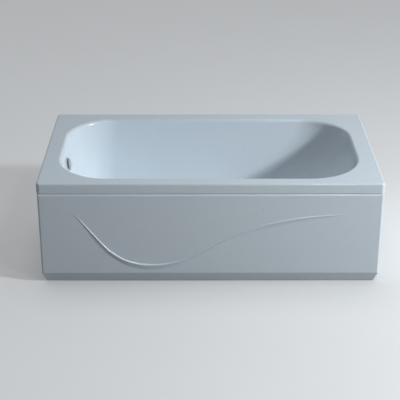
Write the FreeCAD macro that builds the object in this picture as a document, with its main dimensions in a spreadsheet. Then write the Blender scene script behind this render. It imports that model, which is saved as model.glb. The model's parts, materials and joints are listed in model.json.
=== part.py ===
"""A skirted acrylic bathtub: a formed tub on a steel cradle, with clip-on skirts and a turn-control waste.

Frame: millimetres, +Z up, the floor at z = 0 and the tub's centre on the Z axis. The front, with its skirt,
faces -Y. The waste and the overflow are at the -X end, and the sloping backrest is at the +X end.
"""
import FreeCAD, Part
import math
import operator
import os

import Sketcher

Vector = FreeCAD.Vector
doc = FreeCAD.newDocument("skirted_bathtub")

# Driving dimensions, in millimetres, by the piece that they belong to.
SIZES = {
    # The whole tub and its rim.
    "tub_length": 1500,
    "tub_width": 856,
    "tub_height": 480,
    "sheet_wall": 5,
    "lip_height": 45,
    "rim_edge_radius": 8,
    "rim_corner_radius": 16,
    "deck_left": 65.92,
    "deck_right": 76,
    "deck_front": 54,
    "deck_back": 63.5,
    "roll_radius": 16,
    "opening_corner_left": 242,
    "opening_corner_right": 245,
    # The basin under the rim.
    "floor_height": 130,
    "side_draft": 45,
    "end_draft": 50,
    "backrest_run": 393,
    "floor_corner_radius": 145,
    "floor_fillet": 60,
    # The glass-fibre backing, the board under the floor and the battens under the deck.
    "bond_gap": 0.4,
    "laminate_wall": 3.5,
    "laminate_drop": 60,
    "seat_gap": 0.2,
    "board_gap": 40,
    "board_length": 630,
    "board_width": 440,
    "board_thickness": 18,
    "batten_width": 32,
    "batten_end_width": 40,
    "batten_thickness": 18,
    "batten_gap": 2,
    "batten_end_gap": 14,
    # The steel cradle.
    "tube_size": 25,
    "tube_wall": 2,
    "drain_room": 100,
    "frame_gap": 3,
    "frame_back_gap": 20,
    "rail_spread": 150,
    "cap_thickness": 2.5,
    "cap_plug_depth": 10,
    # The four screw feet.
    "foot_inset": 102.5,
    "foot_stem_radius": 6,
    "foot_stem_reach": 26.5,
    "foot_pad_radius": 30,
    "foot_pad_height": 20,
    "foot_pad_rim": 7,
    "foot_pad_neck_radius": 13,
    "foot_socket_floor": 8,
    "foot_socket_gap": 0.2,
    "nut_height": 10,
    "nut_corner_radius": 10.5,
    "thread_gap": 0.08,
    "stem_hole_gap": 0.6,
    # The front and end skirts.
    "skirt_ledge": 3.5,
    "skirt_inset": 3,
    "skirt_wall": 4,
    "skirt_return": 22,
    "skirt_top_gap": 2.5,
    "skirt_bottom_gap": 3,
    "skirt_corner_radius": 9,
    "skirt_top_radius": 2.5,
    "kick_height": 47,
    "kick_inset": 18,
    "seam_gap": 1.5,
    "wave_relief": 6,
    "wave_fade": 34,
    "wave_root": 1.5,
    # The push studs of the skirts and their sockets on the cradle.
    "stud_radius": 5,
    "stud_gap": 0.3,
    "stud_tip_gap": 1,
    "socket_size": 20,
    "socket_depth": 13,
    "socket_back": 2,
    "socket_drop": 40,
    # The wall brackets behind the rear uprights.
    "bracket_thickness": 3,
    "bracket_height": 40,
    "bracket_length": 45,
    "bracket_reach": 17,
    "bracket_drop": 5,
    "wall_hole_radius": 3.25,
    "screw_radius": 3,
    "screw_hole_gap": 0.3,
    "screw_head_radius": 5.5,
    "screw_head_height": 3.5,
    "screw_length": 12,
    # The waste in the floor.
    "drain_inset": 100,
    "drain_hole_radius": 27,
    "drain_recess": 2.5,
    "drain_flange_radius": 36,
    "drain_flange_edge": 1,
    "drain_sleeve_radius": 25.5,
    "drain_bore_radius": 22,
    "drain_sleeve_length": 36,
    "spider_width": 3,
    "spider_height": 6,
    "hub_radius": 8,
    "running_gap": 0.06,
    "drain_gasket_height": 4,
    "drain_gasket_radius": 35,
    "drain_collar_height": 13,
    "drain_cup_radius": 32,
    "drain_cup_wall": 4,
    "drain_cup_depth": 44,
    "spigot_radius": 23,
    "spigot_wall": 3,
    "spigot_length": 22,
    # The plug and its stem.
    "plug_radius": 30,
    "plug_height": 5,
    "plug_lift_gap": 0.6,
    "plug_body_radius": 18,
    "plug_body_depth": 10,
    "plug_seal_radius": 1.8,
    "plug_stem_radius": 4,
    "plug_stem_length": 38,
    # The trap under the waste and its outlet.
    "trap_radius": 50,
    "trap_wall": 3,
    "trap_gap": 14.7,
    "trap_height": 40,
    "trap_dip": 10,
    "trap_collar_wall": 2.8,
    "trap_collar_height": 12,
    "trap_nut_wall": 5,
    "trap_nut_height": 14,
    "trap_nut_lip": 2.8,
    "washer_height": 1.8,
    "joint_gap": 0.2,
    "outlet_radius": 20,
    "outlet_wall": 2.2,
    "outlet_rise": 20,
    "outlet_way_radius": 14,
    "outlet_shoulder_length": 8,
    "outlet_shoulder_radius": 23,
    "outlet_end_gap": 95,
    "outlet_insert": 24,
    # The overflow in the end wall, its pipe and the control cable.
    "overflow_drop": 86,
    "overflow_hole_radius": 27.5,
    "rosette_radius": 33,
    "rosette_thickness": 2.5,
    "rosette_edge_radius": 1.1,
    "rosette_bore_radius": 19.5,
    "rosette_hub_depth": 6,
    "knob_radius": 27,
    "knob_height": 4.5,
    "knob_edge_radius": 1.4,
    "knob_gap": 2.5,
    "knob_boss_radius": 8,
    "spindle_radius": 4,
    "crank_length": 18,
    "crank_width": 8,
    "crank_height": 6,
    "overflow_gasket_height": 4,
    "overflow_flange_radius": 37,
    "overflow_flange_height": 5,
    "overflow_cup_radius": 30,
    "overflow_cup_bore": 22,
    "overflow_cup_depth": 44,
    "overflow_cup_back": 5,
    "overflow_screw_circle": 25,
    "overflow_screw_radius": 2,
    "overflow_screw_length": 26,
    "overflow_screw_head": 3.4,
    "pipe_radius": 16,
    "pipe_wall": 2,
    "pipe_bend_radius": 46,
    "pipe_axis_depth": 36,
    "pipe_socket_wall": 3.2,
    "pipe_socket_length": 28,
    "pipe_insert": 20,
    "pipe_nut_height": 12,
    "pipe_nut_corner_radius": 24,
    "pipe_gap": 0.3,
    "pipe_drop": 40,
    "inlet_way_radius": 11,
    "cable_radius": 3,
    "cable_offset": 31,
    "cable_lug_wall": 4,
    "cable_lug_length": 40,
    "cable_insert": 12,
    "clip_length": 12,
    "clip_wall": 2.4,
    # How far a cutting tool runs past what it cuts.
    "overrun": 40,
}

# Shares, chosen by eye from the photographed shape.
ROLL_WALL_SHARE = 0.88
ROLL_BACKREST_SHARE = 0.65
OFFSET_WALL_SHARE = 0.88
OFFSET_BACKREST_SHARE = 0.5
# The backrest's profile: share of the basin's depth, and share of the backrest's run at that depth.
BACKREST_SHARES = ((0, 0), (0.15, 0.055), (0.5, 0.39), (1, 1))
# The skirt's wave: share of half the skirt's length, of its height, and of the full relief there.
WAVE_SHARES = (
    (-0.83, 0.850, 0.0), (-0.80, 0.805, 0.24), (-0.745, 0.695, 0.5), (-0.675, 0.545, 0.7),
    (-0.573, 0.352, 0.88), (-0.463, 0.249, 0.98), (-0.344, 0.219, 0.98), (-0.167, 0.268, 0.75),
    (0.0, 0.406, 0.65), (0.15, 0.550, 0.65), (0.335, 0.680, 0.78), (0.549, 0.756, 0.72),
    (0.70, 0.777, 0.5), (0.775, 0.783, 0.26), (0.81, 0.785, 0.0),
)
CLIP_SHARES = (0.3, 0.72)

OPERATORS = {"+": operator.add, "-": operator.sub, "*": operator.mul, "/": operator.truediv}


class Size:
    """A length as a number, with the spreadsheet formula that gives it."""

    def __init__(self, value, formula):
        self.value = value
        self.formula = formula

    def join(self, sign, other, swapped=False):
        left, right = (sized(other), self) if swapped else (self, sized(other))
        value = OPERATORS[sign](left.value, right.value)
        return Size(value, f"({left.formula} {sign} {right.formula})")

    def __add__(self, other):
        return self.join("+", other)

    def __radd__(self, other):
        return self.join("+", other, swapped=True)

    def __sub__(self, other):
        return self.join("-", other)

    def __rsub__(self, other):
        return self.join("-", other, swapped=True)

    def __mul__(self, other):
        return self.join("*", other)

    def __rmul__(self, other):
        return self.join("*", other, swapped=True)

    def __truediv__(self, other):
        return self.join("/", other)

    def __neg__(self):
        return Size(-self.value, f"(-{self.formula})")


def sized(value):
    """A Size as it is, or a plain number as one."""
    return value if isinstance(value, Size) else Size(value, repr(value))


def root(size):
    return Size(math.sqrt(size.value), f"sqrt({size.formula})")


def make_sheet():
    """The spreadsheet of driving dimensions, and its aliases as Sizes."""
    made = doc.addObject("Spreadsheet::Sheet", "Sizes")
    for row, (alias, value) in enumerate(SIZES.items(), start=1):
        made.set(f"A{row}", alias.replace("_", " "))
        made.set(f"B{row}", str(value))
        made.setAlias(f"B{row}", alias)
    doc.recompute()
    return {alias: Size(float(made.get(alias)), f"Sizes.{alias}") for alias in SIZES}


class Named:
    """The Sizes as attributes."""

    def __init__(self, sizes):
        self.__dict__.update(sizes)


s = Named(make_sheet())
PIECES = []


# Building blocks.
def bind(made, prop, size):
    """Sets a property from a Size and ties it to the spreadsheet."""
    setattr(made, prop, sized(size).value)
    if isinstance(size, Size):
        made.setExpression(prop, size.formula)


def place(made, x=0, y=0, z=0, rotation=None):
    """Puts an object at a point, tied to the spreadsheet."""
    spot = [sized(at) for at in (x, y, z)]
    made.Placement = FreeCAD.Placement(Vector(*[at.value for at in spot]), rotation or FreeCAD.Rotation())
    for axis, at in zip("xyz", spot):
        made.setExpression(f"Placement.Base.{axis}", at.formula)
    return made


def piece(made, label):
    """Names a finished sub-part and keeps it for the export."""
    made.Label = label
    PIECES.append(made)
    return made


def box(name, x, y, z):
    """A box between pairs of low and high Sizes."""
    made = doc.addObject("Part::Box", name)
    for prop, (low, high) in zip(("Length", "Width", "Height"), (x, y, z)):
        bind(made, prop, high - low)
    return place(made, x[0], y[0], z[0])


AXIS_TURNS = {
    "x": FreeCAD.Rotation(Vector(0, 1, 0), 90),
    "y": FreeCAD.Rotation(Vector(1, 0, 0), -90),
    "z": FreeCAD.Rotation(),
}


def rod(name, radius, start, length, axis="z"):
    """A round bar from a start point, along an axis."""
    made = doc.addObject("Part::Cylinder", name)
    bind(made, "Radius", radius)
    bind(made, "Height", length)
    return place(made, *start, rotation=AXIS_TURNS[axis])


def ring(name, outer, inner, start, length, axis="z"):
    """A round sleeve from a start point, along an axis."""
    outside = rod(name + "_outside", outer, start, length, axis)
    return cut(name, outside, rod(name + "_bore", inner, start, length, axis))


def hexagon(name, corner_radius, bore, start, length, axis="z"):
    """A plain hexagon nut from a start point, along an axis."""
    made = doc.addObject("Part::Prism", name + "_outside")
    made.Polygon = 6
    bind(made, "Circumradius", corner_radius)
    bind(made, "Height", length)
    place(made, *start, rotation=AXIS_TURNS[axis])
    return cut(name, made, rod(name + "_bore", bore, start, length, axis))


def joined(name, *parts):
    """The union of several objects."""
    made = doc.addObject("Part::MultiFuse", name)
    made.Shapes = list(parts)
    made.Refine = True
    return made


def cut(name, base, *tools):
    """One object less one or more others."""
    made = doc.addObject("Part::Cut", name)
    made.Base = base
    made.Tool = tools[0] if len(tools) == 1 else joined(name + "_tools", *tools)
    return made


def common(name, first, second):
    made = doc.addObject("Part::Common", name)
    made.Base = first
    made.Tool = second
    return made


def group(label, parts):
    """Several separate solids as one sub-part."""
    made = doc.addObject("Part::Compound", label + "_group")
    made.Links = list(parts)
    return piece(made, label)


def new_body(name):
    return doc.addObject("PartDesign::Body", name)


def new_sketch(body, name, plane, height=0):
    """A sketch on one of a body's own planes, raised by a height along its normal."""
    made = body.newObject("Sketcher::SketchObject", name)
    support = [feature for feature in body.Origin.OriginFeatures if feature.Role == plane][0]
    made.AttachmentSupport = [(support, "")]
    made.MapMode = "FlatFace"
    made.AttachmentOffset = FreeCAD.Placement(Vector(0, 0, sized(height).value), FreeCAD.Rotation())
    made.setExpression("AttachmentOffset.Base.z", sized(height).formula)
    return made


def fix_point(sketch, geometry, end, u, v):
    """Ties a sketch point's two coordinates to Sizes; a zero holds it on the axis."""
    for kind, axis, size in (("DistanceX", -2, u), ("DistanceY", -1, v)):
        if not isinstance(size, Size):
            sketch.addConstraint(Sketcher.Constraint("PointOnObject", geometry, end, axis))
            continue
        index = sketch.addConstraint(Sketcher.Constraint(kind, -1, 1, geometry, end, size.value))
        sketch.setExpression(f"Constraints[{index}]", size.formula)


def polygon(body, name, plane, points, height=0):
    """A closed outline of straight lines through points given as pairs of Sizes."""
    sketch = new_sketch(body, name, plane, height)
    spots = [Vector(sized(u).value, sized(v).value, 0) for u, v in points]
    count = len(spots)
    for index in range(count):
        sketch.addGeometry(Part.LineSegment(spots[index], spots[(index + 1) % count]))
    for index in range(count):
        sketch.addConstraint(Sketcher.Constraint("Coincident", index, 2, (index + 1) % count, 1))
    for index, (u, v) in enumerate(points):
        fix_point(sketch, index, 1, u, v)
    return sketch


def rounded_rectangle(body, name, x, y, radius_left, radius_right, height):
    """A rectangle on the XY plane with one corner radius at each end, its sides tied to Sizes."""
    sketch = new_sketch(body, name, "XY_Plane", height)
    (left, right), (front, back) = x, y
    corners = (
        (right, front, radius_right, -1, 1, -90),
        (right, back, radius_right, -1, -1, 0),
        (left, back, radius_left, 1, -1, 90),
        (left, front, radius_left, 1, 1, 180),
    )
    arcs = []
    for at_x, at_y, radius, to_x, to_y, turn in corners:
        centre = Vector(at_x.value + to_x * radius.value, at_y.value + to_y * radius.value, 0)
        circle = Part.Circle(centre, Vector(0, 0, 1), radius.value)
        arcs.append(Part.ArcOfCircle(circle, math.radians(turn), math.radians(turn + 90)))
    for index, arc in enumerate(arcs):
        sketch.addGeometry(arc)
        sketch.addGeometry(Part.LineSegment(arc.EndPoint, arcs[(index + 1) % 4].StartPoint))
    for index in range(8):
        sketch.addConstraint(Sketcher.Constraint("Tangent", index, 2, (index + 1) % 8, 1))
    for line, kind in ((1, "Vertical"), (3, "Horizontal"), (5, "Vertical"), (7, "Horizontal")):
        sketch.addConstraint(Sketcher.Constraint(kind, line))
    sides = ((1, "DistanceX", right), (5, "DistanceX", left), (3, "DistanceY", back), (7, "DistanceY", front))
    for line, kind, size in sides:
        index = sketch.addConstraint(Sketcher.Constraint(kind, -1, 1, line, 1, size.value))
        sketch.setExpression(f"Constraints[{index}]", size.formula)
    for arc, radius in zip((0, 2, 4, 6), (radius_right, radius_right, radius_left, radius_left)):
        index = sketch.addConstraint(Sketcher.Constraint("Radius", arc, radius.value))
        sketch.setExpression(f"Constraints[{index}]", radius.formula)
    return sketch


def pad(body, sketch, length, middle=False, back=False):
    """Extrudes a sketch along its normal, to both sides, or backwards."""
    made = body.newObject("PartDesign::Pad", sketch.Name + "_pad")
    made.Profile = sketch
    made.Midplane = middle
    made.Reversed = back
    bind(made, "Length", length)
    return made


def pocket(body, sketch, length, middle=False, back=False):
    """Cuts a sketch's outline along or against its normal."""
    made = body.newObject("PartDesign::Pocket", sketch.Name + "_pocket")
    made.Profile = sketch
    made.Midplane = middle
    made.Reversed = back
    bind(made, "Length", length)
    return made


def fillet(body, name, feature, radius, test):
    """Rounds the edges of a body's feature that pass a test of their bounding box."""
    doc.recompute()
    edges = [f"Edge{n}" for n, edge in enumerate(feature.Shape.Edges, start=1) if test(edge.BoundBox)]
    made = body.newObject("PartDesign::Fillet", name)
    made.Base = (feature, edges)
    bind(made, "Radius", radius)
    return made


NEAR = 1e-3


def near(first, second):
    return abs(first - sized(second).value) < NEAR


def flat_at(height):
    """A test for edges that lie level at a height."""
    return lambda bounds: near(bounds.ZMin, height) and near(bounds.ZMax, height)


def revolved(name, outline):
    """A turned body about its own Z axis, from pairs of radius and height."""
    body = new_body(name + "_body")
    sketch = polygon(body, name + "_outline", "XZ_Plane", outline)
    spin = body.newObject("PartDesign::Revolution", name + "_spin")
    spin.Profile = sketch
    spin.ReferenceAxis = (sketch, ["V_Axis"])
    spin.Angle = 360
    return body


def tube(name, x, y, z, axis):
    """A square steel tube, open at both ends of its axis."""
    bore = [(low + s.tube_wall, high - s.tube_wall) for low, high in (x, y, z)]
    along = "xyz".index(axis)
    bore[along] = (x, y, z)[along]
    return cut(name, box(name + "_outside", x, y, z), box(name + "_inside", *bore))


def swept(name, points, bend, radius, bore=None):
    """A round pipe along straight runs joined by tangent arcs, hollow where a bore is given."""
    corners = [Vector(*[sized(at).value for at in point]) for point in points]
    edges = []
    start = corners[0]
    for before, corner, after in zip(corners, corners[1:], corners[2:]):
        back = (before - corner).normalize()
        ahead = (after - corner).normalize()
        half = back.getAngle(ahead) / 2
        reach = bend.value / math.tan(half)
        middle = (back + ahead).normalize() * (bend.value / math.sin(half) - bend.value)
        edges.append(Part.LineSegment(start, corner + back * reach).toShape())
        edges.append(Part.Arc(corner + back * reach, corner + middle, corner + ahead * reach).toShape())
        start = corner + ahead * reach
    edges.append(Part.LineSegment(start, corners[-1]).toShape())
    path = Part.Wire(edges)
    heading = corners[1] - corners[0]
    shapes = []
    for size in (radius, bore):
        if size is not None:
            section = Part.Wire(Part.Circle(corners[0], heading, size.value).toShape())
            shapes.append(path.makePipeShell([section], True, False))
    made = doc.addObject("Part::Feature", name)
    made.Shape = shapes[0] if bore is None else shapes[0].cut(shapes[1])
    return made


# Levels and faces that more than one piece uses.
half_length = s.tub_length / 2
rim_left = -half_length
rim_right = half_length
skirt_face = s.wave_relief - s.tub_width / 2
rim_front = skirt_face + s.skirt_ledge
rim_back = s.tub_width / 2
deck_under = s.tub_height - s.sheet_wall
lip_bottom = s.tub_height - s.lip_height
floor_top = s.floor_height
basin_depth = s.tub_height - floor_top
laminate_inside = s.sheet_wall + s.bond_gap
laminate_outside = laminate_inside + s.laminate_wall
wall_inset = s.roll_radius * ROLL_WALL_SHARE
open_left = rim_left + s.deck_left + wall_inset
open_right = rim_right - s.deck_right - s.roll_radius * ROLL_BACKREST_SHARE
open_front = rim_front + s.deck_front + wall_inset
open_back = rim_back - s.deck_back - wall_inset
board_top = floor_top - laminate_outside - s.seat_gap
board_bottom = board_top - s.board_thickness
rail_top = board_bottom - s.seat_gap
rail_bottom = rail_top - s.tube_size
cross_top = rail_bottom - s.seat_gap
cross_bottom = cross_top - s.tube_size
batten_top = deck_under - s.seat_gap
batten_bottom = batten_top - s.batten_thickness
upright_top = batten_bottom - s.seat_gap
skirt_top = lip_bottom - s.skirt_top_gap
skirt_bottom = s.skirt_bottom_gap
kick_top = skirt_bottom + s.kick_height
end_face = rim_right - s.skirt_inset
frame_front = skirt_face + s.skirt_return + s.frame_gap
frame_back = rim_back - s.frame_back_gap
frame_end = end_face - s.skirt_return - s.frame_gap
drain_x = open_left + s.end_draft + s.drain_inset
frame_left = drain_x + s.drain_room
foot_spread = (frame_back - frame_front) / 2 - s.foot_inset
CROSS_PLACES = {"left": frame_left, "middle": Size(0.0, "0"), "right": -frame_left}


# The basin, as a solid grown by an offset from the bather's side of the sheet.
def basin_solid(name, offset, roll=None):
    """The basin's space grown by an offset; with a roll radius, it flares out under a plate at the rim."""
    body = new_body(name)
    grown = offset * OFFSET_WALL_SHARE
    sections = []
    for index, (depth_share, run_share) in enumerate(BACKREST_SHARES):
        x = (
            open_left + s.end_draft * depth_share - grown,
            open_right - s.backrest_run * run_share + offset * OFFSET_BACKREST_SHARE,
        )
        y = (open_front + s.side_draft * depth_share - grown, open_back - s.side_draft * depth_share + grown)
        radii = [
            (at_rim - wall_inset) * (1 - depth_share) + s.floor_corner_radius * depth_share + grown
            for at_rim in (s.opening_corner_left, s.opening_corner_right)
        ]
        height = s.tub_height - basin_depth * depth_share - offset
        sections.append(rounded_rectangle(body, f"{name}_section_{index}", x, y, *radii, height))
    loft = body.newObject("PartDesign::AdditiveLoft", name + "_loft")
    loft.Profile = sections[0]
    loft.Sections = sections[1:]
    last = loft
    if roll is not None:
        out = s.overrun
        corners = [
            (rim_left - out, rim_front - out), (rim_right + out, rim_front - out),
            (rim_right + out, rim_back + out), (rim_left - out, rim_back + out),
        ]
        top = s.tub_height - offset
        last = pad(body, polygon(body, name + "_plate", "XY_Plane", corners, top), out)
    last = fillet(body, name + "_floor", last, s.floor_fillet + offset, flat_at(floor_top - offset))
    if roll is not None:
        level = flat_at(top)
        inside = lambda b: level(b) and b.XMax < rim_right.value and b.XMin > rim_left.value
        fillet(body, name + "_roll", last, roll, inside)
    return body


def overflow_point(x, y, z):
    """A point of the overflow's frame, as three Sizes of the whole tub."""
    slant = root(s.end_draft * s.end_draft + basin_depth * basin_depth)
    cosine, sine = basin_depth / slant, s.end_draft / slant
    at_x = open_left + s.end_draft * s.overflow_drop / basin_depth + z * cosine + x * sine
    at_z = s.tub_height - s.overflow_drop + z * sine - x * cosine
    return at_x, y, at_z


def overflow_place(made, x=0, y=0, z=0, rotation=None):
    """Puts an object in the overflow's frame: z out of the end wall into the basin, x down the wall."""
    at_x, _, at_z = overflow_point(x, y, z)
    lean = math.degrees(math.atan(s.end_draft.value / basin_depth.value))
    tilt = FreeCAD.Rotation(Vector(0, 1, 0), 90 - lean)
    return place(made, at_x, y, at_z, tilt.multiply(rotation or FreeCAD.Rotation()))


def overflow_rod(name, radius, start, length, axis="z"):
    """A round bar in the overflow's frame."""
    made = doc.addObject("Part::Cylinder", name)
    bind(made, "Radius", radius)
    bind(made, "Height", length)
    return overflow_place(made, *start, rotation=AXIS_TURNS[axis])


def overflow_box(name, x, y, z):
    """A box in the overflow's frame."""
    made = doc.addObject("Part::Box", name)
    for prop, (low, high) in zip(("Length", "Width", "Height"), (x, y, z)):
        bind(made, prop, high - low)
    return overflow_place(made, x[0], y[0], z[0])


# Tub shell: the formed acrylic sheet, with its deck, lip, rolled rim and basin.
def make_tub_shell():
    rim = new_body("rim_tray")
    outline = rounded_rectangle(
        rim, "rim_outline", (rim_left, rim_right), (rim_front, rim_back),
        s.rim_corner_radius, s.rim_corner_radius, lip_bottom)
    block = pad(rim, outline, s.lip_height)
    fillet(rim, "rim_edge", block, s.rim_edge_radius, flat_at(s.tub_height))
    inner = s.rim_corner_radius - s.sheet_wall
    hollow = rounded_rectangle(
        rim, "rim_hollow", (rim_left + s.sheet_wall, rim_right - s.sheet_wall),
        (rim_front + s.sheet_wall, rim_back - s.sheet_wall), inner, inner, lip_bottom)
    pocket(rim, hollow, s.lip_height - s.sheet_wall, back=True)
    outside = basin_solid("basin_outside", s.sheet_wall, s.roll_radius - s.sheet_wall)
    below_deck = box(
        "below_deck", (rim_left + s.rim_corner_radius, rim_right - s.rim_corner_radius),
        (rim_front + s.rim_corner_radius, rim_back - s.rim_corner_radius),
        (floor_top - s.overrun, s.tub_height - s.sheet_wall / 2))
    void = basin_solid("basin_void", Size(0.0, "0"), s.roll_radius)
    skin = joined("tub_skin", rim, common("basin_under_deck", outside, below_deck))
    recess = rod(
        "drain_recess_cut", s.drain_flange_radius + s.joint_gap,
        (drain_x, 0, floor_top - s.drain_recess), s.overrun)
    piece(cut("tub_cut", skin, void, recess, *wall_holes("tub")), "tub_shell")


def wall_holes(name):
    """The waste's hole in the floor and the overflow's hole in the end wall."""
    return (
        rod(name + "_drain_hole", s.drain_hole_radius, (drain_x, 0, floor_top - s.overrun), 2 * s.overrun),
        overflow_rod(name + "_overflow_hole", s.overflow_hole_radius, (0, 0, -s.overrun), 2 * s.overrun),
    )


# Backing: the glass-fibre laminate, the board under the floor and the battens under the deck.
def make_backing():
    outside = basin_solid("laminate_outside", laminate_outside)
    inside = basin_solid("laminate_inside", laminate_inside)
    below = box(
        "below_roll", (rim_left, rim_right), (rim_front, rim_back),
        (floor_top - s.overrun, s.tub_height - s.laminate_drop))
    layer = cut("laminate_layer", common("laminate_block", outside, below), inside, *wall_holes("laminate"))
    piece(layer, "glass_fibre_backing")

    left = drain_x + s.drain_flange_radius + s.board_gap
    board_x = (left, left + s.board_length)
    board_y = (-s.board_width / 2, s.board_width / 2)
    piece(box("board", board_x, board_y, (board_bottom, board_top)), "base_board")

    z = (batten_bottom, batten_top)
    long_x = (rim_left + s.batten_end_gap, rim_right - s.batten_end_gap)
    front = rim_front + s.sheet_wall + s.batten_gap
    back = rim_back - s.sheet_wall - s.batten_gap
    piece(box("batten_front", long_x, (front, front + s.batten_width), z), "rim_batten_front")
    piece(box("batten_back", long_x, (back - s.batten_width, back), z), "rim_batten_back")
    short_y = (front + s.batten_width + s.batten_gap, back - s.batten_width - s.batten_gap)
    left = rim_left + s.sheet_wall + s.batten_gap
    right = rim_right - s.sheet_wall - s.batten_gap
    piece(box("batten_left", (left, left + s.batten_end_width), short_y, z), "rim_batten_left")
    piece(box("batten_right", (right - s.batten_end_width, right), short_y, z), "rim_batten_right")


# Cradle: square steel tubes under the board, with uprights to the rim's battens.
def make_cradle():
    half = s.tube_size / 2
    for side, x in CROSS_PLACES.items():
        z = (cross_bottom, cross_top)
        bar = tube(f"cross_{side}", (x - half, x + half), (frame_front, frame_back), z, "y")
        if side != "middle":
            hole = s.foot_stem_radius + s.stem_hole_gap
            low = cross_bottom - s.overrun
            holes = [
                rod(f"stem_hole_{side}_{n}", hole, (x, y, low), s.tube_size + 2 * s.overrun)
                for n, y in enumerate((-foot_spread, foot_spread))
            ]
            bar = cut(f"cross_drilled_{side}", bar, *holes)
        piece(bar, f"cross_member_{side}")
    rail_x = (CROSS_PLACES["left"] - half, frame_end)
    for side, y in (("front", -s.rail_spread), ("back", s.rail_spread)):
        rail = tube(f"rail_tube_{side}", rail_x, (y - half, y + half), (rail_bottom, rail_top), "x")
        piece(rail, f"rail_{side}")
    rows = {"front": (frame_front, frame_front + s.tube_size), "back": (frame_back - s.tube_size, frame_back)}
    for row, y in rows.items():
        for side, x in CROSS_PLACES.items():
            z = (cross_top + s.seat_gap, upright_top)
            post = tube(f"post_{row}_{side}", (x - half, x + half), y, z, "z")
            if row == "back" and side != "middle":
                hole = bracket_bolt(f"bolt_hole_{side}", x, s.screw_hole_gap)
                post = cut(f"post_drilled_{side}", post, hole)
            piece(post, f"upright_{row}_{side}")
    for side, y in (("front", -s.rail_spread), ("back", s.rail_spread)):
        z = (rail_top + s.seat_gap, upright_top)
        post = tube(f"post_end_{side}", (frame_end - s.tube_size, frame_end), (y - half, y + half), z, "z")
        piece(post, f"end_post_{side}")
    caps = [cross_cap(f"cap_{side}", x) for side, x in CROSS_PLACES.items()]
    for side, y in (("front", -s.rail_spread), ("back", s.rail_spread)):
        caps.append(rail_cap(f"cap_rail_{side}", y))
    group("tube_end_caps", caps)


def cross_cap(name, x):
    """A push-in cap at the back end of a cross member."""
    half = s.tube_size / 2
    plug = half - s.tube_wall - s.seat_gap
    middle = (cross_top + cross_bottom) / 2
    y = frame_back
    flat = box(name + "_flat", (x - half, x + half), (y, y + s.cap_thickness), (cross_bottom, cross_top))
    stub_y = (y - s.cap_plug_depth, y)
    stub = box(name + "_stub", (x - plug, x + plug), stub_y, (middle - plug, middle + plug))
    return joined(name, flat, stub)


def rail_cap(name, y):
    """A push-in cap at the left end of a rail."""
    half = s.tube_size / 2
    plug = half - s.tube_wall - s.seat_gap
    left = CROSS_PLACES["left"] - half
    middle = (rail_top + rail_bottom) / 2
    flat = box(name + "_flat", (left - s.cap_thickness, left), (y - half, y + half), (rail_bottom, rail_top))
    stub_x = (left, left + s.cap_plug_depth)
    stub = box(name + "_stub", stub_x, (y - plug, y + plug), (middle - plug, middle + plug))
    return joined(name, flat, stub)


# Feet: a pad on a threaded stem through each end of the outer cross members, with a nut above and below.
def make_feet():
    bore = s.foot_stem_radius + s.thread_gap
    nuts = {"upper": [], "lower": []}
    for row, y in (("front", -foot_spread), ("back", foot_spread)):
        for side in ("left", "right"):
            x = CROSS_PLACES[side]
            label = f"{row}_{side}"
            outline = [
                (0, 0), (s.foot_pad_radius, 0), (s.foot_pad_radius, s.foot_pad_rim),
                (s.foot_pad_neck_radius, s.foot_pad_height), (bore, s.foot_pad_height),
                (bore, s.foot_socket_floor), (0, s.foot_socket_floor),
            ]
            piece(place(revolved(f"foot_pad_{label}", outline), x, y, 0), f"foot_pad_{label}")
            low = s.foot_socket_floor + s.foot_socket_gap
            levels = {"upper": cross_top + s.seat_gap, "lower": cross_bottom - s.seat_gap - s.nut_height}
            high = levels["upper"] + s.nut_height + s.foot_stem_reach
            stem = rod(f"stem_{label}", s.foot_stem_radius, (x, y, low), high - low)
            piece(stem, f"foot_stem_{label}")
            for level, z in levels.items():
                nut = hexagon(f"nut_{level}_{label}", s.nut_corner_radius, bore, (x, y, z), s.nut_height)
                nuts[level].append(nut)
    for level, made in nuts.items():
        group(f"foot_nuts_{level}", made)


# Skirts: formed trays, open at the back, with a sloping kick at the bottom and studs that push into sockets.
def skirt_tray(name, length):
    """A tray that faces -Y, centred on its own Z axis, with its face at y = 0."""
    body = new_body(name)
    profile = [
        (0, skirt_top), (0, kick_top), (s.kick_inset, skirt_bottom),
        (s.skirt_return, skirt_bottom), (s.skirt_return, skirt_top),
    ]
    block = pad(body, polygon(body, name + "_profile", "YZ_Plane", profile), length, middle=True)
    half = length / 2
    for side, sign in (("left", -1), ("right", 1)):
        end = half * sign
        past = end + s.overrun * sign
        low = skirt_bottom - s.overrun
        inset = s.kick_inset * (s.kick_height + s.overrun) / s.kick_height
        corner = [(end, kick_top), (past, kick_top), (past, low), (end - inset * sign, low)]
        kick = polygon(body, f"{name}_kick_{side}", "XZ_Plane", corner)
        block = pocket(body, kick, s.tub_width, middle=True)
    rounded = fillet(body, name + "_corners", block, s.skirt_corner_radius, skirt_corner(half))
    doc.recompute()
    backs = [
        f"Face{n}" for n, face in enumerate(rounded.Shape.Faces, start=1)
        if near(face.BoundBox.YMin, s.skirt_return) and near(face.BoundBox.YMax, s.skirt_return)
    ]
    shell = body.newObject("PartDesign::Thickness", name + "_shell")
    shell.Base = (rounded, backs)
    shell.Reversed = True
    bind(shell, "Value", s.skirt_wall)
    fillet(body, name + "_top", shell, s.skirt_top_radius, skirt_top_edge)
    return body


def skirt_corner(half):
    """A test for the upright front edges at the ends of a skirt."""
    at_end = lambda b: near(abs(b.XMin), half) and near(abs(b.XMax), half)
    return lambda b: at_end(b) and near(b.YMax, 0) and near(b.ZMax, skirt_top)


def skirt_top_edge(bounds):
    """A test for the outer edges round the top of a skirt."""
    return flat_at(skirt_top)(bounds) and bounds.YMin < s.skirt_return.value / 2


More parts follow.
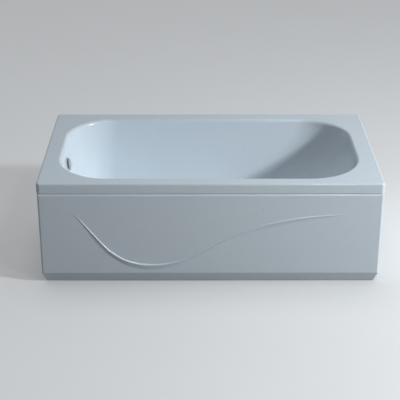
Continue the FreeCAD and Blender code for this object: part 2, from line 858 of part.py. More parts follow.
def skirt_wave(length):
    """The raised wave on the front skirt: a ledge that faces up along the wave and fades out below it."""
    deep = skirt_face.value + 2 * s.wave_root.value
    edge = deep - s.wave_root.value
    sections = []
    for x_share, z_share, relief_share in WAVE_SHARES:
        x = length.value / 2 * x_share
        z = skirt_bottom.value + (skirt_top.value - skirt_bottom.value) * z_share
        out = (s.wave_relief.value + s.wave_root.value) * relief_share
        fade = s.wave_root.value + out + (s.wave_fade.value - s.wave_relief.value) * relief_share
        corners = [Vector(x, deep, z), Vector(x, edge - out, z - out), Vector(x, deep, z - out - fade)]
        sections.append(Part.makePolygon(corners + corners[:1]))
    made = doc.addObject("Part::Feature", "skirt_wave")
    made.Shape = Part.makeLoft(sections, True, False)
    return made


def stud(name, x, y, z, length, axis):
    """A push stud from the back of a skirt."""
    return rod(name, s.stud_radius, (x, y, z), length, axis)


def make_front_skirt():
    length = s.tub_length - 2 * s.skirt_inset
    tray = place(skirt_tray("front_tray", length), 0, skirt_face, 0)
    piece(joined("front_skirt_wave", tray, skirt_wave(length)), "front_skirt")
    back = skirt_face + s.skirt_wall
    tip = frame_front - s.socket_back - s.stud_tip_gap
    studs, sockets = [], []
    half = s.socket_size / 2
    for level, z in (("top", skirt_top - s.socket_drop), ("bottom", (cross_top + cross_bottom) / 2)):
        for side, x in CROSS_PLACES.items():
            label = f"{level}_{side}"
            studs.append(stud(f"front_stud_{label}", x, back, z, tip - back, "y"))
            block = box(
                f"front_socket_block_{label}", (x - half, x + half),
                (frame_front - s.seat_gap - s.socket_depth, frame_front - s.seat_gap), (z - half, z + half))
            reach = s.socket_depth + s.overrun
            bore = rod(
                f"front_socket_bore_{label}", s.stud_radius + s.stud_gap,
                (x, frame_front - reach, z), reach - s.socket_back, "y")
            sockets.append(cut(f"front_socket_{label}", block, bore))
    group("front_skirt_studs", studs)
    group("front_skirt_sockets", sockets)


def make_end_skirt():
    front = skirt_face + s.skirt_return + s.seam_gap
    back = rim_back - s.skirt_inset
    tray = skirt_tray("end_tray", back - front)
    place(tray, end_face, (front + back) / 2, 0, FreeCAD.Rotation(Vector(0, 0, 1), 90))
    piece(tray, "end_skirt")
    inside = end_face - s.skirt_wall
    tip = frame_end + s.socket_back + s.stud_tip_gap
    studs, sockets = [], []
    half = s.socket_size / 2
    for level, z in (("top", skirt_top - s.socket_drop), ("bottom", (rail_top + rail_bottom) / 2)):
        for side, y in (("front", -s.rail_spread), ("back", s.rail_spread)):
            label = f"{level}_{side}"
            studs.append(stud(f"end_stud_{label}", tip, y, z, inside - tip, "x"))
            start = frame_end + s.seat_gap
            block = box(
                f"end_socket_block_{label}", (start, start + s.socket_depth),
                (y - half, y + half), (z - half, z + half))
            bore = rod(
                f"end_socket_bore_{label}", s.stud_radius + s.stud_gap, (frame_end + s.socket_back, y, z),
                s.socket_depth + s.overrun, "x")
            sockets.append(cut(f"end_socket_{label}", block, bore))
    group("end_skirt_studs", studs)
    group("end_skirt_sockets", sockets)


# Wall brackets: angles beside the rear uprights, with a screw hole that faces the wall.
bracket_top = lip_bottom - s.bracket_drop
bracket_middle = bracket_top - s.bracket_height / 2


def bracket_bolt(name, x, gap):
    """The bolt, or with a gap its hole, that holds a bracket to the side of an upright."""
    start = (x + s.tube_size / 2 - s.screw_length / 2, frame_back - s.tube_size / 2, bracket_middle)
    return rod(name, s.screw_radius + gap, start, s.screw_length, "x")


def make_wall_brackets():
    brackets, bolts = [], []
    for side in ("left", "right"):
        x = CROSS_PLACES[side]
        face = x + s.tube_size / 2 + s.seat_gap
        z = (bracket_top - s.bracket_height, bracket_top)
        near_leg = box(
            f"bracket_leg_{side}", (face, face + s.bracket_thickness),
            (frame_back - s.tube_size / 2 - s.screw_head_radius, rim_back), z)
        wall_leg = box(
            f"bracket_wall_leg_{side}", (face, face + s.bracket_length),
            (rim_back - s.bracket_thickness, rim_back), z)
        hole_x = face + s.bracket_length - s.bracket_reach
        hole = rod(
            f"wall_hole_{side}", s.wall_hole_radius, (hole_x, rim_back - s.overrun, bracket_middle),
            2 * s.overrun, "y")
        bolt_hole = bracket_bolt(f"bracket_bolt_hole_{side}", x, s.screw_hole_gap)
        angle = joined(f"bracket_angle_{side}", near_leg, wall_leg)
        brackets.append(cut(f"bracket_{side}", angle, hole, bolt_hole))
        head_start = face + s.bracket_thickness + s.seat_gap
        head = rod(
            f"bracket_bolt_head_{side}", s.screw_head_radius,
            (head_start, frame_back - s.tube_size / 2, bracket_middle), s.screw_head_height, "x")
        shank_start = x + s.tube_size / 2 - s.screw_length / 2
        shank = rod(
            f"bracket_bolt_shank_{side}", s.screw_radius,
            (shank_start, frame_back - s.tube_size / 2, bracket_middle), head_start - shank_start, "x")
        bolts.append(joined(f"bracket_bolt_{side}", head, shank))
    group("wall_brackets", brackets)
    group("bracket_bolts", bolts)


# Waste: the flange in the floor, the cup under it, the plug, and the trap with its outlet.
def spokes(name, radius, low, high):
    """Three spokes from a hub to a ring, about the local Z axis."""
    made = []
    for index in range(3):
        bar = doc.addObject("Part::Box", f"{name}_{index}")
        bind(bar, "Length", radius)
        bind(bar, "Width", s.spider_width)
        bind(bar, "Height", high - low)
        made.append((bar, 120 * index))
    return made


def make_waste():
    under = floor_top - laminate_outside - s.seat_gap
    seat = floor_top - s.drain_recess + s.seat_gap
    sleeve_low = floor_top - s.drain_sleeve_length
    flange = place(revolved("drain_flange", [
        (s.drain_bore_radius, sleeve_low), (s.drain_sleeve_radius, sleeve_low), (s.drain_sleeve_radius, seat),
        (s.drain_flange_radius, seat), (s.drain_flange_radius, floor_top - s.drain_flange_edge),
        (s.drain_flange_radius - s.drain_flange_edge, floor_top), (s.drain_sleeve_radius, floor_top),
        (s.drain_bore_radius, floor_top - s.drain_recess),
    ]), drain_x, 0, 0)
    spider_top = sleeve_low + s.spider_height
    parts = [flange, rod("drain_hub", s.hub_radius, (drain_x, 0, sleeve_low), s.spider_height)]
    reach = s.drain_bore_radius + s.spider_width / 4
    for bar, turn in spokes("drain_spoke", reach, sleeve_low, spider_top):
        angle = math.radians(turn)
        side = s.spider_width / 2
        place(
            bar, drain_x + side * math.sin(angle), -side * math.cos(angle), sleeve_low,
            FreeCAD.Rotation(Vector(0, 0, 1), turn))
        parts.append(bar)
    guide = rod(
        "drain_guide", s.plug_stem_radius + s.running_gap, (drain_x, 0, sleeve_low - s.overrun),
        2 * s.overrun)
    piece(cut("drain_flange_guided", joined("drain_flange_spider", *parts), guide), "drain_flange")

    gasket_low = under - s.drain_gasket_height
    gasket_start = (drain_x, 0, gasket_low)
    gasket = ring("gasket", s.drain_gasket_radius, s.drain_hole_radius, gasket_start, s.drain_gasket_height)
    piece(gasket, "drain_gasket")

    top = gasket_low - s.seat_gap
    cup_low = top - s.drain_cup_depth
    neck = s.drain_sleeve_radius + s.thread_gap
    inside = s.drain_cup_radius - s.drain_cup_wall
    spigot_bore = s.spigot_radius - s.spigot_wall
    spigot_low = cup_low - s.spigot_length
    collar_low = top - s.drain_collar_height
    flange_low = top - s.drain_cup_wall
    cup_floor = cup_low + s.spigot_wall
    cup = place(revolved("drain_cup", [
        (spigot_bore, spigot_low), (s.spigot_radius, spigot_low), (s.spigot_radius, cup_low),
        (s.drain_cup_radius, cup_low), (s.drain_cup_radius, flange_low), (s.drain_gasket_radius, flange_low),
        (s.drain_gasket_radius, top), (neck, top), (neck, collar_low), (inside, collar_low),
        (inside, cup_floor), (spigot_bore, cup_floor),
    ]), drain_x, 0, 0)
    cup_side = drain_x - s.drain_cup_radius
    socket = rod(
        "overflow_inlet", s.pipe_radius + s.pipe_socket_wall, (inlet_end, 0, pipe_level),
        cup_side + s.drain_cup_wall - inlet_end, "x")
    lug = box(
        "cable_inlet", (inlet_end + s.pipe_insert / 2, drain_x),
        (s.pipe_radius, s.cable_offset + s.cable_radius + s.cable_lug_wall),
        (pipe_level - s.cable_radius - s.cable_lug_wall, pipe_level + s.cable_radius + s.cable_lug_wall))
    inner = rod("cup_inside", inside, (drain_x, 0, cup_floor), collar_low - cup_floor)
    bore = rod(
        "inlet_bore", s.pipe_radius + s.pipe_gap, (inlet_end - s.overrun, 0, pipe_level),
        cup_side - inlet_end + s.overrun, "x")
    way = rod("inlet_way", s.inlet_way_radius, (inlet_end, 0, pipe_level), drain_x - inlet_end, "x")
    cable_bore = rod(
        "cable_bore", s.cable_radius + s.seat_gap, (inlet_end - s.overrun, s.cable_offset, pipe_level),
        s.overrun + s.pipe_insert / 2 + s.cable_insert, "x")
    solid = joined("drain_cup_inlets", cup, socket, lug)
    piece(cut("drain_cup_bored", solid, inner, bore, way, cable_bore), "drain_body")

    cap_low = floor_top + s.plug_lift_gap
    cap_body = revolved("plug_cap", [
        (0, cap_low - s.plug_body_depth), (s.plug_body_radius, cap_low - s.plug_body_depth),
        (s.plug_body_radius, cap_low), (s.plug_radius, cap_low), (s.plug_radius, cap_low + s.plug_height / 2),
        (s.plug_radius / 2, cap_low + s.plug_height), (0, cap_low + s.plug_height),
    ])
    place(cap_body, drain_x, 0, 0)
    piece(cap_body, "plug_cap")
    seal = doc.addObject("Part::Torus", "seal_ring")
    bind(seal, "Radius1", s.plug_body_radius + s.plug_seal_radius + s.seat_gap / 2)
    bind(seal, "Radius2", s.plug_seal_radius)
    place(seal, drain_x, 0, cap_low - s.plug_body_depth / 2)
    piece(seal, "plug_seal")
    stem_low = cap_low - s.plug_body_depth - s.plug_stem_length
    piece(rod("stem", s.plug_stem_radius, (drain_x, 0, stem_low), s.plug_stem_length), "plug_stem")
    return cup_low


def make_trap(cup_low):
    collar_bore = s.spigot_radius + s.joint_gap
    collar = collar_bore + s.trap_collar_wall
    collar_top = cup_low - s.trap_gap
    high = collar_top - s.trap_collar_height
    low = high - s.trap_height
    inner = s.trap_radius - s.trap_wall
    drum = place(revolved("trap_drum", [
        (0, low), (s.trap_radius, low), (s.trap_radius, high), (collar, high), (collar, collar_top),
        (collar_bore, collar_top), (collar_bore, low + s.trap_dip), (collar, low + s.trap_dip),
        (collar, high - s.trap_wall), (inner, high - s.trap_wall), (inner, low + s.trap_wall),
        (0, low + s.trap_wall),
    ]), drain_x, 0, 0)
    outlet_z = low + s.outlet_rise
    outlet_bore = s.outlet_radius - s.outlet_wall
    start = inner + s.trap_wall / 2
    shoulder = s.trap_radius + s.outlet_shoulder_length
    tip = shoulder + s.outlet_insert
    stub = rod("outlet_stub", s.outlet_shoulder_radius, (drain_x, start, outlet_z), shoulder - start, "y")
    spigot = rod("outlet_spigot", outlet_bore - s.joint_gap, (drain_x, start, outlet_z), tip - start, "y")
    way = rod("outlet_way", s.outlet_way_radius, (drain_x, collar, outlet_z), tip + s.overrun - collar, "y")
    piece(cut("trap_bored", joined("trap_outlet", drum, stub, spigot), way), "trap_body")

    washer_low = collar_top + s.joint_gap
    washer_bore = s.spigot_radius + s.joint_gap / 2
    piece(ring("washer", collar, washer_bore, (drain_x, 0, washer_low), s.washer_height), "trap_washer")
    lip_low = washer_low + s.washer_height + s.joint_gap
    nut_low = lip_low + s.trap_nut_lip - s.trap_nut_height
    nut_bore = collar + s.thread_gap
    nut = place(revolved("trap_ring", [
        (nut_bore, nut_low), (nut_bore + s.trap_nut_wall, nut_low),
        (nut_bore + s.trap_nut_wall, lip_low + s.trap_nut_lip), (washer_bore, lip_low + s.trap_nut_lip),
        (washer_bore, lip_low), (nut_bore, lip_low),
    ]), drain_x, 0, 0)
    piece(nut, "trap_nut")

    pipe_start = shoulder + s.joint_gap
    pipe_length = rim_back - s.outlet_end_gap - pipe_start
    outlet = ring("outlet", s.outlet_radius, outlet_bore, (drain_x, pipe_start, outlet_z), pipe_length, "y")
    piece(outlet, "outlet_pipe")


# Overflow: the rosette and knob in the end wall, the cup behind it, the pipe down to the waste and the cable.
inlet_end = drain_x - s.drain_cup_radius - s.pipe_socket_length
pipe_level = floor_top - s.pipe_drop
stack = laminate_outside + s.seat_gap * 2
gasket_back = -stack - s.overflow_gasket_height
cup_front = gasket_back - s.seat_gap


def make_overflow():
    plate = revolved("rosette", [
        (s.rosette_bore_radius, s.seat_gap), (s.rosette_radius, s.seat_gap),
        (s.rosette_radius, s.rosette_thickness), (s.rosette_bore_radius, s.rosette_thickness),
    ])
    level = flat_at(s.rosette_thickness)
    outer = lambda b: level(b) and near(b.XMax, s.rosette_radius)
    fillet(plate, "rosette_edge", plate.Tip, s.rosette_edge_radius, outer)
    overflow_place(plate)
    hub_low = s.rosette_thickness - s.rosette_hub_depth
    parts = [plate, overflow_rod("rosette_hub", s.hub_radius, (0, 0, hub_low), s.rosette_hub_depth)]
    reach = s.rosette_bore_radius + s.spider_width / 2
    for bar, turn in spokes("rosette_spoke", reach, s.seat_gap, s.rosette_thickness):
        angle = math.radians(turn)
        side = s.spider_width / 2
        overflow_place(
            bar, side * math.sin(angle), -side * math.cos(angle), s.seat_gap,
            FreeCAD.Rotation(Vector(0, 0, 1), turn))
        parts.append(bar)
    holes = [overflow_rod(
        "rosette_guide", s.spindle_radius + s.running_gap, (0, 0, hub_low - s.overrun), 2 * s.overrun)]
    screws = []
    screw_low = s.rosette_thickness - s.overflow_screw_length
    head_low = s.rosette_thickness / 2
    for side, sign in (("front", -1), ("back", 1)):
        y = s.overflow_screw_circle * sign
        start = (0, y, screw_low)
        shank_gap = s.overflow_screw_radius + s.thread_gap
        head_gap = s.overflow_screw_head + s.thread_gap
        holes.append(overflow_rod(f"rosette_screw_hole_{side}", shank_gap, start, s.overrun))
        holes.append(overflow_rod(f"rosette_head_hole_{side}", head_gap, (0, y, head_low), s.overrun))
        shank = overflow_rod(
            f"overflow_shank_{side}", s.overflow_screw_radius, start, s.overflow_screw_length - s.seat_gap)
        head = overflow_rod(
            f"overflow_head_{side}", s.overflow_screw_head, (0, y, head_low + s.seat_gap),
            s.rosette_thickness - head_low - s.seat_gap)
        screws.append(joined(f"overflow_screw_{side}", shank, head))
    piece(cut("rosette_drilled", joined("rosette_spider", *parts), *holes), "overflow_rosette")
    group("overflow_screws", screws)

    outer_ring = overflow_rod(
        "overflow_gasket_outside", s.overflow_flange_radius, (0, 0, gasket_back), s.overflow_gasket_height)
    inner_ring = overflow_rod(
        "overflow_gasket_bore", s.overflow_hole_radius, (0, 0, gasket_back), s.overflow_gasket_height)
    piece(cut("overflow_gasket_ring", outer_ring, inner_ring), "overflow_gasket")
    make_overflow_cup()
    make_overflow_knob()
    make_overflow_pipe()


def make_overflow_cup():
    back = cup_front - s.overflow_cup_depth
    flange_back = cup_front - s.overflow_flange_height
    inside = back + s.overflow_cup_back
    cup = overflow_place(revolved("overflow_cup", [
        (0, back), (s.overflow_cup_radius, back), (s.overflow_cup_radius, flange_back),
        (s.overflow_flange_radius, flange_back), (s.overflow_flange_radius, cup_front),
        (s.overflow_cup_bore, cup_front), (s.overflow_cup_bore, inside), (0, inside),
    ]))
    axis_z = -s.pipe_axis_depth
    socket_end = s.overflow_cup_radius + s.pipe_socket_length
    in_wall = (s.overflow_cup_radius + s.overflow_cup_bore) / 2
    socket = overflow_rod(
        "overflow_socket", s.pipe_radius + s.pipe_socket_wall, (in_wall, 0, axis_z),
        socket_end - in_wall, "x")
    half = s.cable_radius + s.cable_lug_wall
    lug = overflow_box(
        "cable_outlet", (0 * in_wall, s.cable_lug_length), (in_wall, s.cable_offset + half),
        (axis_z - half, axis_z + half))
    bore = overflow_rod(
        "overflow_socket_bore", s.pipe_radius + s.pipe_gap, (0, 0, axis_z), socket_end + s.overrun, "x")
    cable_bore = overflow_rod(
        "overflow_cable_bore", s.cable_radius + s.seat_gap,
        (s.cable_lug_length - s.cable_insert, s.cable_offset, axis_z), s.cable_insert + s.overrun, "x")
    hole_low = s.rosette_thickness - s.overflow_screw_length - s.seat_gap
    hole_radius = s.overflow_screw_radius + s.thread_gap
    screw_holes = [
        overflow_rod(
            f"overflow_cup_hole_{side}", hole_radius, (0, s.overflow_screw_circle * sign, hole_low),
            s.overrun)
        for side, sign in (("front", -1), ("back", 1))
    ]
    solid = joined("overflow_cup_socket", cup, socket, lug)
    piece(cut("overflow_cup_bored", solid, bore, cable_bore, *screw_holes), "overflow_body")


def make_overflow_knob():
    low = s.rosette_thickness + s.knob_gap
    knob = revolved("knob", [
        (0, low - s.knob_gap / 2), (s.knob_boss_radius, low - s.knob_gap / 2), (s.knob_boss_radius, low),
        (s.knob_radius, low), (s.knob_radius, low + s.knob_height), (0, low + s.knob_height),
    ])
    rim = lambda b: near(b.XMax, s.knob_radius) and near(b.ZMin, b.ZMax)
    fillet(knob, "knob_edge", knob.Tip, s.knob_edge_radius, rim)
    piece(overflow_place(knob), "overflow_knob")
    inside = cup_front - s.overflow_cup_depth + s.overflow_cup_back + s.seat_gap * 2
    top = low - s.knob_gap / 2
    shaft = overflow_rod("spindle_shaft", s.spindle_radius, (0, 0, inside), top - inside)
    crank_low = inside + s.seat_gap
    crank = overflow_box(
        "spindle_crank", (-s.crank_width / 2, s.crank_width / 2), (-s.crank_width / 2, s.crank_length),
        (crank_low, crank_low + s.crank_height))
    piece(joined("spindle_crank_shaft", shaft, crank), "knob_spindle")


def make_overflow_pipe():
    axis_z = -s.pipe_axis_depth
    socket_end = s.overflow_cup_radius + s.pipe_socket_length
    start_x, _, start_z = overflow_point(socket_end - s.pipe_insert, 0, axis_z)
    corner_x = start_x + (start_z - pipe_level) * s.end_draft / basin_depth
    end_x = inlet_end + s.pipe_insert
    route = [(start_x, 0, start_z), (corner_x, 0, pipe_level), (end_x, 0, pipe_level)]
    pipe_bore = s.pipe_radius - s.pipe_wall
    piece(swept("overflow_pipe_run", route, s.pipe_bend_radius, s.pipe_radius, pipe_bore), "overflow_pipe")

    nut_bore = s.pipe_radius + s.pipe_gap
    upper = doc.addObject("Part::Prism", "pipe_nut_upper_outside")
    upper.Polygon = 6
    bind(upper, "Circumradius", s.pipe_nut_corner_radius)
    bind(upper, "Height", s.pipe_nut_height)
    overflow_place(upper, socket_end + s.seat_gap, 0, axis_z, AXIS_TURNS["x"])
    upper_bore = overflow_rod("pipe_nut_upper_bore", nut_bore, (socket_end, 0, axis_z), s.overrun, "x")
    lower = hexagon(
        "pipe_nut_lower", s.pipe_nut_corner_radius, nut_bore,
        (inlet_end - s.seat_gap - s.pipe_nut_height, 0, pipe_level), s.pipe_nut_height, "x")
    group("overflow_pipe_nuts", [cut("pipe_nut_upper", upper, upper_bore), lower])

    y = s.cable_offset
    cable_x, _, cable_z = overflow_point(s.cable_lug_length - s.cable_insert + s.seat_gap, 0, axis_z)
    cable_end = inlet_end + s.pipe_insert / 2 + s.cable_insert - s.seat_gap
    cable_route = [(cable_x, y, cable_z), (corner_x, y, pipe_level), (cable_end, y, pipe_level)]
    piece(swept("cable_run", cable_route, s.pipe_bend_radius, s.cable_radius), "control_cable")

    run = root((start_z - pipe_level) * (start_z - pipe_level) + (corner_x - start_x) * (corner_x - start_x))
    cable_bore = s.cable_radius + s.seat_gap
    clips = []
    for index, share in enumerate(CLIP_SHARES):
        at = socket_end - s.pipe_insert + run * share
        grip = overflow_rod(f"clip_grip_{index}", nut_bore + s.clip_wall, (at, 0, axis_z), s.clip_length, "x")
        hold = overflow_rod(
            f"clip_hold_{index}", cable_bore + s.clip_wall, (at, y, axis_z), s.clip_length, "x")
        web = overflow_box(
            f"clip_web_{index}", (at, at + s.clip_length), (0 * y, y),
            (axis_z - s.clip_wall, axis_z + s.clip_wall))
        before = at - s.overrun
        through = s.clip_length + 2 * s.overrun
        bores = [
            overflow_rod(f"clip_bore_{index}", nut_bore, (before, 0, axis_z), through, "x"),
            overflow_rod(f"clip_cable_bore_{index}", cable_bore, (before, y, axis_z), through, "x"),
        ]
        clips.append(cut(f"clip_{index}", joined(f"clip_solid_{index}", grip, hold, web), *bores))
    group("cable_clips", clips)


def check_and_export():
    """Stops on a failed object or a bad shape, then writes one file per sub-part."""
    doc.recompute()
    for made in doc.Objects:
        if "Invalid" in made.State or "Error" in made.State:
            raise RuntimeError(f"{made.Label} failed: {made.getStatusString()}")
    for made in PIECES:
        if made.Shape.isNull() or not made.Shape.isValid() or not made.Shape.Solids:
            raise RuntimeError(f"{made.Label} has no valid solid")
    os.makedirs("parts", exist_ok=True)
    for made in PIECES:
        made.Shape.exportStep(f"parts/{made.Label}.step")
        bounds = made.Shape.BoundBox
        print(
            f"{made.Label:22s} solids {len(made.Shape.Solids)} volume {made.Shape.Volume / 1000:9.1f} cm3"
            f"  x {bounds.XMin:7.1f} {bounds.XMax:7.1f}  y {bounds.YMin:7.1f} {bounds.YMax:7.1f}"
            f"  z {bounds.ZMin:6.1f} {bounds.ZMax:6.1f}")


make_tub_shell()
make_backing()
make_cradle()
make_feet()
make_front_skirt()
make_end_skirt()
make_wall_brackets()
make_trap(make_waste())
make_overflow()
check_and_export()
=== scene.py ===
"""Looks of the skirted bathtub: materials, detail pieces, stage, light and the photo's camera."""
import json
import math

import bmesh
import bpy
from mathutils import Matrix, Vector


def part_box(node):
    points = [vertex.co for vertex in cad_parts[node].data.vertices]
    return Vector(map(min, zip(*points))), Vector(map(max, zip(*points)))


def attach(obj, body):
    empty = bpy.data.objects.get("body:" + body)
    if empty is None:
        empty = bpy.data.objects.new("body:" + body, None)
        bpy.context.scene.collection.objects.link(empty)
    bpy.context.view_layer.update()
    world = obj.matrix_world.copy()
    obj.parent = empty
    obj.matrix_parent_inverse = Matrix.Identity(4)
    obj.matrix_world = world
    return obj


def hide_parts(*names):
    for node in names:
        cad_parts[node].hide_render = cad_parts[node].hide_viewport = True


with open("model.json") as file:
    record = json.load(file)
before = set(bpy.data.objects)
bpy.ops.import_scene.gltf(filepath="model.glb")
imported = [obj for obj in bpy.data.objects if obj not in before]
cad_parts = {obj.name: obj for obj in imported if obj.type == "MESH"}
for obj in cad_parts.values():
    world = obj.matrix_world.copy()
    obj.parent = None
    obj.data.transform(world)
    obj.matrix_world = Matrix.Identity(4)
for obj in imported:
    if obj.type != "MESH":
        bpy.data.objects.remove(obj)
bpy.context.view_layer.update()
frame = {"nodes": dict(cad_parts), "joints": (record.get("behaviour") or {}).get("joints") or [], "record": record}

nodes = frame["nodes"]
scene = bpy.context.scene
MM = 0.001

# Colours of the materials, as linear red, green and blue.
ACRYLIC_COOL = (0.790, 0.860, 0.920)
ACRYLIC_PALE = (0.808, 0.875, 0.932)
ACRYLIC_SPECK = (0.70, 0.76, 0.81)
RESIN_DARK = (0.46, 0.44, 0.31)
RESIN_PALE = (0.62, 0.60, 0.47)
GLASS_STRAND = (0.80, 0.79, 0.71)
FLAKE_DARK = (0.30, 0.19, 0.09)
FLAKE_PALE = (0.62, 0.46, 0.27)
BOARD_DUST = (0.70, 0.56, 0.37)
EARLY_WOOD = (0.69, 0.52, 0.30)
LATE_WOOD = (0.47, 0.28, 0.12)
WOOD_FIBRE = (0.75, 0.60, 0.40)
WOOD_KNOT = (0.20, 0.10, 0.045)
SPANGLE_DARK = (0.44, 0.46, 0.48)
SPANGLE_PALE = (0.62, 0.64, 0.66)
WHITE_RUST = (0.72, 0.73, 0.72)
ZINC_YELLOW = (0.66, 0.66, 0.60)
ZINC_BLUE = (0.62, 0.67, 0.73)
RUBBER_BLACK = (0.018, 0.018, 0.020)
RUBBER_BLOOM = (0.060, 0.060, 0.062)
CHROME_CLEAN = (0.53, 0.54, 0.55)
CHROME_SPOT = (0.46, 0.47, 0.48)
WELD_BROWN = (0.16, 0.13, 0.11)
WELD_BLUE = (0.20, 0.21, 0.25)
WELD_ZINC = (0.46, 0.47, 0.48)
WHITE_PLASTIC = ((0.70, 0.70, 0.68), (0.78, 0.78, 0.77))
GREY_PLASTIC = ((0.085, 0.090, 0.098), (0.125, 0.130, 0.140))
BLACK_PLASTIC = ((0.014, 0.014, 0.016), (0.030, 0.030, 0.033))
SCUFF_LEVEL = 0.62
SCUFF_SHARE = 0.4
FLOOR_DARK = (0.60, 0.60, 0.60)
FLOOR_PALE = (0.64, 0.64, 0.64)
FLOOR_BOUNCE = (0.45, 0.45, 0.45)
FLOOR_GLOW = (1.0, 1.0, 1.0)

# Turns of the layers of glass strands, in degrees.
STRAND_TURNS = ((8, 30, 12), (55, -20, 75), (35, 65, 130), (-25, -55, 40), (15, 5, 165))


# Node materials.
class Shader:
    """A material's node tree, with short calls that add nodes and join them."""

    def __init__(self, name):
        self.material = bpy.data.materials.new(name)
        self.material.use_nodes = True
        self.tree = self.material.node_tree
        self.surface = self.tree.nodes["Principled BSDF"]
        self.place = self.add("ShaderNodeTexCoord").outputs["Object"]

    def add(self, kind, inputs=None, **settings):
        """A new node of a kind, with its settings made and its inputs fed."""
        made = self.tree.nodes.new(kind)
        for key, value in settings.items():
            setattr(made, key, value)
        for key, value in (inputs or {}).items():
            self.feed(made.inputs[key], value)
        return made

    def feed(self, socket, value):
        """Joins an output to a socket, or sets the socket to a plain value."""
        if isinstance(value, bpy.types.NodeSocket):
            self.tree.links.new(value, socket)
        elif socket.type == "RGBA":
            socket.default_value = (*value, 1.0)
        else:
            socket.default_value = value

    def set(self, **values):
        """Sets the surface shader's sockets; an underscore stands for a space."""
        for key, value in values.items():
            self.feed(self.surface.inputs[key.replace("_", " ")], value)

    def stretch(self, scale, turn=(0, 0, 0)):
        """The object's coordinates, turned by degrees and then stretched along the turned axes."""
        turned = self.add("ShaderNodeMapping", {
            "Vector": self.place, "Rotation": [math.radians(a) for a in turn]}).outputs["Vector"]
        made = self.add("ShaderNodeVectorMath", {0: turned, 1: scale}, operation="MULTIPLY")
        return made.outputs["Vector"]

    def noise(self, scale, detail, rough=0.5, vector=None, warp=0.0):
        made = self.add("ShaderNodeTexNoise", {
            "Vector": vector or self.place, "Scale": scale, "Detail": detail, "Roughness": rough,
            "Distortion": warp})
        return made.outputs["Fac"]

    def cells(self, scale, feature="F1", output="Distance", vector=None):
        made = self.add(
            "ShaderNodeTexVoronoi", {"Vector": vector or self.place, "Scale": scale},
            feature=feature)
        return made.outputs[output]

    def channel(self, colour, name):
        """One channel of a colour, by its name."""
        return self.add("ShaderNodeSeparateColor", {"Color": colour}).outputs[name]

    def span(self, value, low=0.0, high=1.0, to_low=0.0, to_high=1.0):
        """A value's range, mapped to another and held there."""
        made = self.add("ShaderNodeMapRange", {
            "Value": value, "From Min": low, "From Max": high, "To Min": to_low, "To Max": to_high})
        return made.outputs["Result"]

    def maths(self, operation, first, second=0.0):
        made = self.add("ShaderNodeMath", {0: first, 1: second}, operation=operation)
        return made.outputs["Value"]

    def share(self, value, amount):
        """A value times a plain number."""
        return self.maths("MULTIPLY", value, amount)

    def mix(self, share, first, second):
        """A colour between two others."""
        made = self.add("ShaderNodeMix", data_type="RGBA")
        for socket, value in (("Factor_Float", share), ("A_Color", first), ("B_Color", second)):
            self.feed(self.socket(made.inputs, socket), value)
        return self.socket(made.outputs, "Result_Color")

    def socket(self, sockets, identifier):
        """The socket of a mix node that its identifier names."""
        return next(made for made in sockets if made.identifier == identifier)

    def bump(self, height, distance, strength, under=None):
        """A normal from a height, over another normal if one is given."""
        inputs = {"Height": height, "Distance": distance, "Strength": strength}
        if under is not None:
            inputs["Normal"] = under
        return self.add("ShaderNodeBump", inputs).outputs["Normal"]


def acrylic():
    """Gloss cast acrylic: cool white, faint clouds and specks, wiping marks, slight orange peel."""
    sh = Shader("acrylic_gloss")
    cloud = sh.span(sh.noise(scale=2.6, detail=3), low=0.35, high=0.65)
    speck = sh.span(sh.noise(scale=55, detail=2), low=0.62, high=0.72)
    clean = sh.mix(cloud, ACRYLIC_COOL, ACRYLIC_PALE)
    sh.set(Base_Color=sh.mix(sh.share(speck, amount=0.25), clean, ACRYLIC_SPECK))
    swept = sh.stretch(scale=(0.35, 1.0, 2.2), turn=(0, 12, 20))
    wiped = sh.noise(scale=9, detail=5, rough=0.65, vector=swept, warp=0.6)
    sh.set(Roughness=sh.span(wiped, low=0.3, high=0.75, to_low=0.14, to_high=0.27))
    sh.set(Specular_IOR_Level=0.5, IOR=1.49, Coat_Weight=0.35, Coat_Roughness=0.06)
    peel = sh.bump(sh.noise(scale=210, detail=2), distance=0.0004, strength=0.10)
    sh.set(Normal=sh.bump(sh.noise(scale=5, detail=2), distance=0.002, strength=0.05, under=peel))
    return sh.material


def glass_fibre():
    """Sprayed laminate: chopped strands in resin, with a lumpy rolled surface."""
    sh = Shader("glass_fibre_strands")
    strands = None
    for turn in STRAND_TURNS:
        laid = sh.stretch(scale=(0.045, 1.0, 1.0), turn=turn)
        layer = sh.span(sh.noise(scale=430, detail=2, vector=laid, warp=0.25), low=0.60, high=0.67)
        strands = layer if strands is None else sh.maths("MAXIMUM", strands, layer)
    resin = sh.mix(sh.noise(scale=14, detail=4), RESIN_DARK, RESIN_PALE)
    sh.set(Base_Color=sh.mix(sh.share(strands, amount=0.75), resin, GLASS_STRAND))
    wetted = sh.noise(scale=30, detail=3)
    sh.set(Roughness=sh.span(wetted, low=0.3, high=0.7, to_low=0.38, to_high=0.7))
    sh.set(Coat_Weight=0.2, Coat_Roughness=0.25)
    lumps = sh.bump(sh.noise(scale=22, detail=5, rough=0.6), distance=0.006, strength=0.5)
    sh.set(Normal=sh.bump(strands, distance=0.0007, strength=0.6, under=lumps))
    return sh.material


